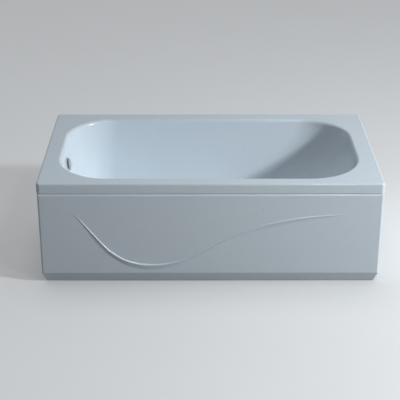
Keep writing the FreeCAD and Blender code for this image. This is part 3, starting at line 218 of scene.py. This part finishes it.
def chipboard():
    """Raw pressed board: flakes of several browns, with loose dust."""
    sh = Shader("chipboard_flakes")
    laid = sh.stretch(scale=(1.0, 0.6, 2.2), turn=(0, 0, 24))
    flake_scale = 95
    shade = sh.channel(sh.cells(scale=flake_scale, output="Color", vector=laid), "Red")
    dust = sh.span(sh.noise(scale=420, detail=2), low=0.55, high=0.7)
    flakes = sh.mix(shade, FLAKE_DARK, FLAKE_PALE)
    sh.set(Base_Color=sh.mix(sh.share(dust, amount=0.5), flakes, BOARD_DUST))
    sh.set(Roughness=sh.span(shade, to_low=0.68, to_high=0.9))
    edges = sh.cells(scale=flake_scale, feature="DISTANCE_TO_EDGE", vector=laid)
    sh.set(Normal=sh.bump(edges, distance=0.002, strength=0.35))
    return sh.material


def softwood(name, grain):
    """Planed softwood: early and late wood along the grain, fine fibres and a few knots."""
    sh = Shader(name)
    along = sh.stretch(scale=grain)
    rings = sh.noise(scale=62, detail=3, rough=0.55, vector=along, warp=1.2)
    late = sh.span(sh.maths("SINE", sh.share(rings, amount=46)), low=0.1, high=1.0)
    fibre = sh.noise(scale=900, detail=2, vector=along)
    near_knot = sh.cells(scale=7.5, vector=sh.stretch(scale=(0.8, 0.8, 1.0)))
    knot = sh.span(near_knot, low=0.05, high=0.11, to_low=1.0, to_high=0.0)
    wood = sh.mix(late, EARLY_WOOD, LATE_WOOD)
    wood = sh.mix(sh.share(fibre, amount=0.35), wood, WOOD_FIBRE)
    sh.set(Base_Color=sh.mix(knot, wood, WOOD_KNOT))
    sh.set(Roughness=sh.span(late, to_low=0.62, to_high=0.48))
    raised = sh.bump(late, distance=0.0006, strength=0.25)
    sh.set(Normal=sh.bump(fibre, distance=0.0006, strength=0.35, under=raised))
    return sh.material


def galvanised():
    """Hot-dip galvanised tube: spangles of several greys, dull patches and a little white rust."""
    sh = Shader("galvanised_steel")
    shade = sh.channel(sh.cells(scale=150, output="Color"), "Green")
    zinc = sh.mix(shade, SPANGLE_DARK, SPANGLE_PALE)
    rust = sh.span(sh.noise(scale=16, detail=6, rough=0.65), low=0.60, high=0.70)
    sh.set(Base_Color=sh.mix(sh.share(rust, amount=0.7), zinc, WHITE_RUST))
    sh.set(Metallic=sh.span(rust, to_low=0.95, to_high=0.35))
    sh.set(Roughness=sh.span(shade, to_low=0.30, to_high=0.50))
    sh.set(Normal=sh.bump(sh.noise(scale=130, detail=3), distance=0.0004, strength=0.25))
    return sh.material


def zinc_plate():
    """Bright zinc-plated steel: a faint yellow and blue cast, with fine handling marks."""
    sh = Shader("zinc_plate")
    cast = sh.span(sh.noise(scale=38, detail=3), low=0.35, high=0.65)
    sh.set(Base_Color=sh.mix(cast, ZINC_YELLOW, ZINC_BLUE), Metallic=1.0)
    marks = sh.noise(scale=260, detail=4, rough=0.6, vector=sh.stretch(scale=(1.0, 1.0, 0.2)))
    sh.set(Roughness=sh.span(marks, low=0.3, high=0.7, to_low=0.20, to_high=0.42))
    sh.set(Normal=sh.bump(marks, distance=0.0002, strength=0.25))
    return sh.material


def moulded(name, low, high, roughness, grain):
    """Moulded plastic: a fine eroded grain, flow marks and scuffs."""
    sh = Shader(name)
    drawn = sh.stretch(scale=(1.0, 1.0, 0.4))
    flow = sh.noise(scale=11, detail=4, rough=0.55, vector=drawn, warp=1.5)
    flow = sh.span(flow, low=0.3, high=0.7)
    swept = sh.stretch(scale=(1.0, 0.25, 1.0), turn=(0, 0, 35))
    scuff = sh.span(sh.noise(scale=120, detail=5, rough=0.7, vector=swept), low=0.63, high=0.72)
    worn = [(1.0 - SCUFF_SHARE) * part + SCUFF_SHARE * SCUFF_LEVEL for part in high]
    sh.set(Base_Color=sh.mix(sh.share(scuff, amount=0.45), sh.mix(flow, low, high), worn))
    patches = sh.noise(scale=75, detail=3)
    sh.set(Roughness=sh.span(
        patches, low=0.3, high=0.7, to_low=roughness - 0.07, to_high=roughness + 0.09))
    sh.set(Normal=sh.bump(sh.noise(scale=grain, detail=2), distance=0.0003, strength=0.35))
    return sh.material


def rubber():
    """Black rubber: matt, with a grey bloom and dust in the grain."""
    sh = Shader("black_rubber")
    bloom = sh.span(sh.noise(scale=45, detail=5, rough=0.65), low=0.45, high=0.75)
    sh.set(Base_Color=sh.mix(bloom, RUBBER_BLACK, RUBBER_BLOOM))
    sh.set(Roughness=sh.span(bloom, to_low=0.55, to_high=0.82))
    sh.set(Normal=sh.bump(sh.noise(scale=700, detail=2), distance=0.0002, strength=0.4))
    return sh.material


def chrome():
    """Chrome plate: bright, with dried water spots and fine wiping scratches."""
    sh = Shader("chrome_plate")
    drops = sh.span(sh.cells(scale=210), low=0.18, high=0.26, to_low=1.0, to_high=0.0)
    splashed = sh.span(sh.noise(scale=35, detail=2), low=0.5, high=0.6)
    spots = sh.maths("MULTIPLY", drops, splashed)
    sh.set(Base_Color=sh.mix(spots, CHROME_CLEAN, CHROME_SPOT), Metallic=1.0)
    swept = sh.stretch(scale=(1.0, 0.12, 1.0), turn=(20, 0, 30))
    wiped = sh.noise(scale=320, detail=4, rough=0.65, vector=swept)
    polish = sh.span(wiped, low=0.35, high=0.75, to_low=0.05, to_high=0.15)
    sh.set(Roughness=sh.maths("ADD", polish, sh.share(spots, amount=0.18)))
    sh.set(Normal=sh.bump(wiped, distance=0.0001, strength=0.10))
    return sh.material


def weld_metal():
    """Weld beads: dark ripples with a brown and blue heat tint and a spray of zinc."""
    sh = Shader("weld_metal")
    tint = sh.mix(sh.noise(scale=90, detail=3), WELD_BROWN, WELD_BLUE)
    zinc = sh.span(sh.noise(scale=300, detail=4, rough=0.6), low=0.48, high=0.62)
    sh.set(Base_Color=sh.mix(zinc, tint, WELD_ZINC))
    sh.set(Metallic=0.8, Roughness=sh.span(zinc, to_low=0.38, to_high=0.62))
    sh.set(Normal=sh.bump(sh.noise(scale=600, detail=3), distance=0.0003, strength=0.4))
    return sh.material


FINISHES = {
    "acrylic": acrylic(),
    "glass_fibre": glass_fibre(),
    "chipboard": chipboard(),
    "cradle_steel": galvanised(),
    "zinc_steel": zinc_plate(),
    "white_plastic": moulded("white_plastic_moulded", *WHITE_PLASTIC, roughness=0.34, grain=520),
    "grey_plastic": moulded("grey_plastic_moulded", *GREY_PLASTIC, roughness=0.46, grain=640),
    "black_plastic": moulded("black_plastic_moulded", *BLACK_PLASTIC, roughness=0.50, grain=560),
    "rubber": rubber(),
    "chrome": chrome(),
}
LONG_TIMBER = softwood("softwood_long", grain=(0.05, 1.0, 1.0))
SHORT_TIMBER = softwood("softwood_short", grain=(1.0, 0.05, 1.0))
SHORT_BATTENS = ("rim_batten_left", "rim_batten_right")

slot_of = {part["node"]: part["material_slot"] for part in frame["record"]["subparts"]}


def finish_of(name):
    """The material of a CAD node, from the record's slot for it."""
    if slot_of[name] == "softwood":
        return SHORT_TIMBER if name in SHORT_BATTENS else LONG_TIMBER
    return FINISHES[slot_of[name]]


for name, made in nodes.items():
    made.data.materials.clear()
    made.data.materials.append(finish_of(name))


# Detail pieces that stand for plain CAD nodes.
def add_mesh(name, points, faces, node_names, body, smooth_angle=40, material=None):
    """A piece from points in metres, that moves with a body and stands for any CAD nodes named."""
    mesh = bpy.data.meshes.new(name)
    mesh.from_pydata(points, [], faces)
    work = bmesh.new()
    work.from_mesh(mesh)
    bmesh.ops.recalc_face_normals(work, faces=work.faces)
    sharp = math.radians(smooth_angle)
    for edge in work.edges:
        edge.smooth = len(edge.link_faces) == 2 and edge.calc_face_angle() < sharp
    for face in work.faces:
        face.smooth = True
    work.to_mesh(mesh)
    work.free()
    mesh.materials.append(material or finish_of(node_names[0]))
    made = bpy.data.objects.new(name, mesh)
    scene.collection.objects.link(made)
    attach(made, body)
    if node_names:
        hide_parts(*node_names)
    return made


def lathe(rows, segments, ends=True):
    """Points and faces of a solid turned about Z, from rows of height and radius.

    A height or a radius may be a function of the angle. The first and last rows are closed by flat
    faces, or joined to each other as a ring.
    """
    points, faces = [], []
    for height, radius in rows:
        for step in range(segments):
            angle = math.tau * step / segments
            reach = radius(angle) if callable(radius) else radius
            level = height(angle) if callable(height) else height
            points.append(Vector((reach * math.cos(angle), reach * math.sin(angle), level)))
    last = (len(rows) - 1) * segments
    bands = [(low, low + segments) for low in range(0, last, segments)]
    if ends:
        faces.append(tuple(reversed(range(segments))))
        faces.append(tuple(range(last, last + segments)))
    else:
        bands.append((last, 0))
    for low, high in bands:
        for step in range(segments):
            ahead = (step + 1) % segments
            faces.append((low + step, low + ahead, high + ahead, high + step))
    return points, faces


def merged(parts):
    """Several lists of points and faces as one."""
    points, faces = [], []
    for part_points, part_faces in parts:
        start = len(points)
        points.extend(part_points)
        faces.extend(tuple(index + start for index in face) for face in part_faces)
    return points, faces


def moved(part, matrix):
    """A part made in millimetres, put in its place in the frame."""
    points, faces = part
    return [matrix @ (point * MM) for point in points], faces


def extent(name):
    """The middle, the low corner and the high corner of a CAD node's box."""
    low, high = (Vector(corner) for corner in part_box(name))
    return (low + high) / 2, low, high


def ribbed(radius, rise, count, sharpness):
    """A radius with narrow ribs round it."""
    return lambda angle: radius + rise * max(0.0, math.cos(count * angle)) ** sharpness


def fluted(radius, depth):
    """A radius with the shallow flutes of the knob's edge round it."""
    return lambda angle: radius - depth * (0.5 - 0.5 * math.cos(KNOB_FLUTES * angle))


# Feet: rolled threads on the stems, chamfered nuts and ribbed pads, in millimetres.
THREAD_PITCH, THREAD_DEPTH, THREAD_ROWS, THREAD_STEPS = 1.75, 0.85, 7, 28
THREAD_FLANK, THREAD_CHAMFER = 3.2, 1.2
STEM_RADIUS, STEM_LENGTH = 6.0, 106.0
FOOT_NUT_CORNER, FOOT_NUT_BORE, FOOT_NUT_HEIGHT = 10.5, 6.08, 10.0
NUT_STEPS, NUT_SHARP_ANGLE = 72, 20
NUT_CHAMFER_ANGLE, NUT_FACE_SHARE, NUT_COUNTERSINK = 30, 0.97, 0.5
HALF_SIDE = math.pi / 6
PAD_STEPS, PAD_RIBS, PAD_RIB_SHARPNESS = 96, 12, 6
PAD_RIM_ROWS = [(0.0, 27.5), (0.6, 29.2), (1.8, 30.0), (5.6, 30.0), (6.8, 29.4), (7.6, 27.6)]
PAD_CONE_ROWS = [(8.6, 25.8, 0.6), (11.0, 22.6, 1.6), (14.0, 18.8, 1.9), (17.0, 15.0, 1.6)]
PAD_SOCKET_ROWS = [(18.6, 13.4), (19.6, 12.9), (20.0, 12.2), (20.0, 6.7), (19.4, 6.1), (8.0, 6.08)]


def threaded_rod():
    """The foot's stem: a rod with a rolled helical thread and chamfered ends, from z = 0."""
    count = round(STEM_LENGTH / THREAD_PITCH * THREAD_ROWS)
    rows = []
    for row in range(count + 1):
        z = STEM_LENGTH * row / count
        near_end = min(z, STEM_LENGTH - z)

        def reach(angle, z=z, near_end=near_end):
            phase = (z / THREAD_PITCH - angle / math.tau) % 1.0
            crest = min(1.0, THREAD_FLANK * (0.5 - abs(phase - 0.5)))
            thread = STEM_RADIUS - THREAD_DEPTH * (1.0 - crest)
            return min(thread, STEM_RADIUS - THREAD_CHAMFER + near_end)

        rows.append((z, reach))
    return lathe(rows, THREAD_STEPS)


def hex_nut(corner, bore, height):
    """A hexagon nut with chamfered corners and a countersunk bore, from z = 0."""
    flat = corner * math.cos(HALF_SIDE)
    start = flat * NUT_FACE_SHARE
    slope = math.tan(math.radians(NUT_CHAMFER_ANGLE))

    def side(angle):
        return flat / math.cos((angle + HALF_SIDE) % (2 * HALF_SIDE) - HALF_SIDE)

    def lower(angle):
        return (side(angle) - start) * slope

    def upper(angle):
        return height - lower(angle)

    sunk = bore + NUT_COUNTERSINK
    rows = [
        (NUT_COUNTERSINK, bore), (0.0, sunk), (0.0, start), (lower, side),
        (upper, side), (height, start), (height, sunk), (height - NUT_COUNTERSINK, bore),
    ]
    return lathe(rows, NUT_STEPS, ends=False)


def foot_pad():
    """A moulded pad with a rounded rim, ribs on its cone and a socket for the stem."""
    cone = [
        (z, ribbed(radius, rise, PAD_RIBS, PAD_RIB_SHARPNESS)) for z, radius, rise in PAD_CONE_ROWS]
    return lathe(PAD_RIM_ROWS + cone + PAD_SOCKET_ROWS, PAD_STEPS)


def make_feet():
    """The four feet: a stem and a pad on each foot's body, and the nuts on the tub."""
    stem = threaded_rod()
    nut = hex_nut(FOOT_NUT_CORNER, FOOT_NUT_BORE, FOOT_NUT_HEIGHT)
    pad = foot_pad()
    nuts = {"upper": [], "lower": []}
    for row in ("front", "back"):
        for side in ("left", "right"):
            label = f"{row}_{side}"
            body = f"foot_{label}"
            middle, low, _ = extent(f"foot_stem_{label}")
            at = Matrix.Translation((middle.x, middle.y, low.z))
            add_mesh(f"threaded_stem_{label}", *moved(stem, at), [f"foot_stem_{label}"], body)
            at = Matrix.Translation((middle.x, middle.y, 0))
            add_mesh(f"moulded_pad_{label}", *moved(pad, at), [f"foot_pad_{label}"], body)
            for level, made in nuts.items():
                seat = extent(f"foot_nuts_{level}")[1].z
                made.append(moved(nut, Matrix.Translation((middle.x, middle.y, seat))))
    for level, made in nuts.items():
        replaced = [f"foot_nuts_{level}"]
        add_mesh(f"chamfered_nuts_{level}", *merged(made), replaced, "tub", NUT_SHARP_ANGLE)


make_feet()

# Waste and overflow: turned, ribbed and fluted fittings, in millimetres.
PLUG_STEPS, PLUG_SHARP_ANGLE = 96, 50
PLUG_ROWS = [
    (0.0, 17.4), (0.4, 18.0), (9.8, 18.0), (10.0, 18.6), (10.0, 28.9), (10.4, 29.6), (11.2, 30.0),
    (12.0, 29.8), (12.6, 29.2), (12.7, 28.4), (13.3, 26.5), (13.9, 22.0), (14.4, 16.0), (14.8, 9.0),
    (15.0, 3.0),
]
KNOB_STEPS, KNOB_FLUTES, KNOB_SHARP_ANGLE = 240, 40, 32
KNOB_BOSS_ROWS = [(3.75, 7.6), (4.0, 8.0), (5.0, 8.0), (5.0, 25.6)]
KNOB_EDGE_ROWS = [(5.4, 26.5, 0.5), (6.0, 27.0, 0.7), (8.5, 27.0, 0.7), (9.1, 26.5, 0.5)]
KNOB_FACE_ROWS = [(9.5, 25.6), (9.5, 24.4), (9.2, 23.6), (8.9, 20.0), (8.75, 12.0), (8.7, 4.0)]
TRAP_NUT_STEPS, TRAP_NUT_SHARP_ANGLE = 240, 32
TRAP_NUT_RIBBED = ribbed(radius=30.2, rise=0.9, count=20, sharpness=4)
TRAP_NUT_ROWS = [
    (0.0, 26.5), (0.0, 29.6), (0.7, 30.1), (1.0, TRAP_NUT_RIBBED), (12.6, TRAP_NUT_RIBBED),
    (13.2, 30.0), (14.0, 29.0), (14.0, 23.6), (13.6, 23.1), (11.2, 23.1), (11.2, 26.1), (0.4, 26.1),
]
PIPE_NUT_CORNER, PIPE_NUT_BORE, PIPE_NUT_HEIGHT = 24.0, 16.3, 12.0
PIPE_NUT_DROP, PIPE_NUT_SETBACK = 58.2, 36.0
PIPE_END_RISE = 21.1


def knob_disc():
    """The overflow's knob: a fluted disc with a dished face on a boss, from the wall."""
    edge = [(z, fluted(radius, depth)) for z, radius, depth in KNOB_EDGE_ROWS]
    return lathe(KNOB_BOSS_ROWS + edge + KNOB_FACE_ROWS, KNOB_STEPS)


def frame_matrix(origin, x_axis, z_axis):
    """A place with its own X and Z axes."""
    z_axis = Vector(z_axis).normalized()
    y_axis = z_axis.cross(Vector(x_axis)).normalized()
    x_axis = y_axis.cross(z_axis)
    made = Matrix((x_axis, y_axis, z_axis)).transposed().to_4x4()
    made.translation = origin
    return made


def stood_on(name):
    """The place at the middle of a CAD node's lower face."""
    middle, low, _ = extent(name)
    return Matrix.Translation((middle.x, middle.y, low.z))


def make_fittings():
    """The knob, the plug, the trap's nut and the overflow pipe's two nuts."""
    knob_joint = next(joint for joint in frame["joints"] if joint["name"] == "overflow_knob_turn")
    wall = Vector(knob_joint["axis"])
    down = Vector((wall.z, 0, -wall.x))
    overflow = frame_matrix(Vector(knob_joint["pos_m"]), down, wall)
    knob = moved(knob_disc(), overflow)
    add_mesh("fluted_knob", *knob, ["overflow_knob"], "knob", KNOB_SHARP_ANGLE)
    plug = moved(lathe(PLUG_ROWS, PLUG_STEPS), stood_on("plug_cap"))
    add_mesh("domed_plug", *plug, ["plug_cap"], "plug", PLUG_SHARP_ANGLE)
    trap_nut = moved(lathe(TRAP_NUT_ROWS, TRAP_NUT_STEPS, ends=False), stood_on("trap_nut"))
    add_mesh("ribbed_trap_nut", *trap_nut, ["trap_nut"], "tub", TRAP_NUT_SHARP_ANGLE)
    nut = hex_nut(PIPE_NUT_CORNER, PIPE_NUT_BORE, PIPE_NUT_HEIGHT)
    across = frame_matrix((0, 0, 0), (0, 1, 0), (1, 0, 0))
    upper_seat = Matrix.Translation((PIPE_NUT_DROP * MM, 0, -PIPE_NUT_SETBACK * MM))
    upper_at = overflow @ upper_seat @ across
    lower_x = extent("overflow_pipe_nuts")[2].x - PIPE_NUT_HEIGHT * MM
    lower_z = extent("overflow_pipe")[1].z + PIPE_END_RISE * MM
    lower_at = Matrix.Translation((lower_x, 0, lower_z)) @ across
    pipe_nuts = merged([moved(nut, upper_at), moved(nut, lower_at)])
    add_mesh("chamfered_pipe_nuts", *pipe_nuts, ["overflow_pipe_nuts"], "tub", NUT_SHARP_ANGLE)


make_fittings()

# Cradle: weld beads where its tubes meet, in millimetres.
BEAD_STEPS, BEAD_ROWS_PER_MM, BEAD_LEAST_ROWS, BEAD_SHARP_ANGLE = 10, 1.6, 8, 60
BEAD_VALLEY_SHARE, BEAD_PITCH, BEAD_TIP_SHARE, BEAD_TIP_LENGTH = 0.86, 2.4, 0.45, 2.0
BEAD_RADIUS, SEAM_RADIUS = 3.0, 1.4


def bead(start, end, radius):
    """A rippled weld bead between two points in metres, with its radius in millimetres."""
    along = Vector(end) - Vector(start)
    length = along.length / MM
    count = max(BEAD_LEAST_ROWS, round(length * BEAD_ROWS_PER_MM))
    rows = []
    for row in range(count + 1):
        z = length * row / count
        crest = abs(math.sin(math.pi * z / BEAD_PITCH))
        ripple = BEAD_VALLEY_SHARE + (1.0 - BEAD_VALLEY_SHARE) * crest
        tip = min(1.0, BEAD_TIP_SHARE + min(z, length - z) / BEAD_TIP_LENGTH)
        rows.append((z, radius * ripple * tip))
    return moved(lathe(rows, BEAD_STEPS), frame_matrix(Vector(start), (0, 0, 1), along))


def make_welds():
    """Beads at the feet of the uprights and posts, and where the rails cross."""
    parts = []
    rails = [extent(f"rail_{row}") for row in ("front", "back")]
    for side in ("left", "middle", "right"):
        _, cross_low, cross_high = extent(f"cross_member_{side}")
        top = cross_high.z
        for row in ("front", "back"):
            _, low, high = extent(f"upright_{row}_{side}")
            inner = high.y if row == "front" else low.y
            parts.append(bead((low.x, inner, top), (high.x, inner, top), BEAD_RADIUS))
            for x in (low.x, high.x):
                parts.append(bead((x, low.y, top), (x, high.y, top), SEAM_RADIUS))
        for _, low, high in rails:
            left = max(cross_low.x, low.x)
            for y in (low.y, high.y):
                parts.append(bead((left, y, top), (cross_high.x, y, top), BEAD_RADIUS))
    for row in ("front", "back"):
        _, low, high = extent(f"end_post_{row}")
        parts.append(bead((low.x, low.y, low.z), (low.x, high.y, low.z), BEAD_RADIUS))
        for y in (low.y, high.y):
            parts.append(bead((low.x, y, low.z), (high.x, y, low.z), SEAM_RADIUS))
    made = add_mesh("weld_beads", *merged(parts), [], "tub", BEAD_SHARP_ANGLE, weld_metal())


make_welds()

# Rolled or eased edges of plain CAD nodes, by slot, in millimetres.
EASED_EDGES = {
    "cradle_steel": 1.6, "softwood": 2.0, "chipboard": 0.8, "grey_plastic": 0.7,
    "black_plastic": 0.6,
}
EASED_SEGMENTS, EASED_ANGLE, JOIN_REACH = 2, 50, 0.01


def ease_edges(made, width):
    """Small rolled or eased edges on a CAD node, as modifiers over its mesh."""
    weld = made.modifiers.new("join_points", "WELD")
    weld.merge_threshold = JOIN_REACH * MM
    bevel = made.modifiers.new("ease_edges", "BEVEL")
    bevel.width = width * MM
    bevel.segments = EASED_SEGMENTS
    bevel.limit_method = "ANGLE"
    bevel.angle_limit = math.radians(EASED_ANGLE)
    bevel.use_clamp_overlap = True
    bevel.harden_normals = True


for name, made in nodes.items():
    if slot_of[name] in EASED_EDGES and not made.hide_render:
        ease_edges(made, EASED_EDGES[slot_of[name]])

# The stage: a plain pale floor that runs out of the picture on all sides, soft light and two lamps.
# The shade reach and samples set the painted shadow that dims the floor's glow near the tub.
FLOOR_REACH, FLOOR_PAINTED_SHADOW_REACH, FLOOR_PAINTED_SHADOW_SAMPLES = 40, 0.3, 16
FLOOR_GLOW_STRENGTH = 0.27
WORLD_COLOUR = (0.86, 0.93, 1.0, 1.0)
WORLD_BRIGHT_SIDE = (0.30, 0.95, -0.05)
WORLD_GRADING = {"From Min": -0.3, "From Max": 0.9, "To Min": 0.045, "To Max": 0.62}
WORLD_SEEN_STRENGTH = 0.50
LAMPS = {
    "key": {
        "place": (3.9, -1.68, 2.60), "aim": (0.0, 0.0, 0.35), "size": 0.42, "power": 157,
        "colour": (0.925, 0.975, 1.0)},
    "top": {
        "place": (0.9, -1.7, 3.3), "aim": (0.0, 0.0, 0.4), "size": 0.4, "power": 10,
        "colour": (0.92, 0.97, 1.0)},
}


def make_floor():
    """The floor: paler as it is seen than as it lights the tub, with a painted shadow near the tub."""
    sh = Shader("floor_pale")
    pale = sh.mix(sh.noise(scale=1.5, detail=3), FLOOR_DARK, FLOOR_PALE)
    path = sh.add("ShaderNodeLightPath").outputs
    seen = sh.maths("MAXIMUM", path["Is Camera Ray"], path["Is Glossy Ray"])
    seen = sh.maths("MAXIMUM", seen, path["Is Transmission Ray"])
    sh.set(Base_Color=sh.mix(seen, FLOOR_BOUNCE, pale), Roughness=0.9)
    # Painted shadow: ambient occlusion dims the floor's glow close to the tub.
    painted_shadow = sh.add(
        "ShaderNodeAmbientOcclusion", {"Distance": FLOOR_PAINTED_SHADOW_REACH}, samples=FLOOR_PAINTED_SHADOW_SAMPLES)
    glow_with_painted_shadow = sh.maths("MULTIPLY", sh.share(seen, FLOOR_GLOW_STRENGTH), painted_shadow.outputs["AO"])
    sh.set(Emission_Color=FLOOR_GLOW, Emission_Strength=glow_with_painted_shadow)
    sh.set(Normal=sh.bump(sh.noise(scale=60, detail=3), distance=0.0005, strength=0.1))
    mesh = bpy.data.meshes.new("floor")
    square = ((-1, -1), (1, -1), (1, 1), (-1, 1))
    corners = [(x * FLOOR_REACH, y * FLOOR_REACH, 0) for x, y in square]
    mesh.from_pydata(corners, [], [range(len(corners))])
    mesh.materials.append(sh.material)
    floor = bpy.data.objects.new("floor", mesh)
    scene.collection.objects.link(floor)


def make_world():
    """Soft light from all round, stronger from one side, with a pale backdrop where it is seen."""
    world = bpy.data.worlds.new("studio")
    scene.world = world
    world.use_nodes = True
    tree = world.node_tree
    background = tree.nodes["Background"]
    background.inputs["Color"].default_value = WORLD_COLOUR
    toward = tree.nodes.new("ShaderNodeVectorMath")
    toward.operation = "DOT_PRODUCT"
    toward.inputs[1].default_value = WORLD_BRIGHT_SIDE
    tree.links.new(tree.nodes.new("ShaderNodeTexCoord").outputs["Generated"], toward.inputs[0])
    light = tree.nodes.new("ShaderNodeMapRange")
    tree.links.new(toward.outputs["Value"], light.inputs["Value"])
    for key, value in WORLD_GRADING.items():
        light.inputs[key].default_value = value
    path = tree.nodes.new("ShaderNodeLightPath").outputs
    seen = path["Is Camera Ray"]
    for kind in ("Is Glossy Ray", "Is Transmission Ray"):
        either = tree.nodes.new("ShaderNodeMath")
        either.operation = "MAXIMUM"
        tree.links.new(seen, either.inputs[0])
        tree.links.new(path[kind], either.inputs[1])
        seen = either.outputs["Value"]
    pale = tree.nodes.new("ShaderNodeMix")
    pale.inputs["B"].default_value = WORLD_SEEN_STRENGTH
    tree.links.new(seen, pale.inputs["Factor"])
    tree.links.new(light.outputs["Result"], pale.inputs["A"])
    tree.links.new(pale.outputs["Result"], background.inputs["Strength"])


def make_lamp(name, place, aim, size, power, colour):
    """A round area lamp that faces a point."""
    lamp = bpy.data.lights.new(name, "AREA")
    lamp.shape = "DISK"
    lamp.size = size
    lamp.energy = power
    lamp.color = colour
    made = bpy.data.objects.new(name, lamp)
    made.location = place
    made.rotation_euler = (Vector(aim) - Vector(place)).to_track_quat("-Z", "Y").to_euler()
    scene.collection.objects.link(made)


# The photograph's camera, from the fit to the rim, the skirt and the opening.
CAMERA_PLACE = (-0.0625, -4.651, 2.398)
CAMERA_YAW, CAMERA_PITCH, CAMERA_ROLL = 0.00402, 0.44003, 0.0011
CAMERA_LENS, CAMERA_SENSOR = 97.8, 36.0


def make_camera():
    """The camera from its place and its turns in radians."""
    ahead = Vector((
        math.sin(CAMERA_YAW) * math.cos(CAMERA_PITCH),
        math.cos(CAMERA_YAW) * math.cos(CAMERA_PITCH),
        -math.sin(CAMERA_PITCH)))
    level = Vector((math.cos(CAMERA_YAW), -math.sin(CAMERA_YAW), 0))
    upright = level.cross(ahead)
    right = level * math.cos(CAMERA_ROLL) + upright * math.sin(CAMERA_ROLL)
    up = upright * math.cos(CAMERA_ROLL) - level * math.sin(CAMERA_ROLL)
    data = bpy.data.cameras.new("photo_camera")
    data.lens = CAMERA_LENS
    data.sensor_width = CAMERA_SENSOR
    camera = bpy.data.objects.new("photo_camera", data)
    turned = Matrix((right, up, -ahead)).transposed().to_4x4()
    camera.matrix_world = Matrix.Translation(CAMERA_PLACE) @ turned
    scene.collection.objects.link(camera)
    scene.camera = camera


make_floor()
make_world()
for name, settings in LAMPS.items():
    make_lamp(name, **settings)
make_camera()
scene.view_settings.view_transform = "Standard"
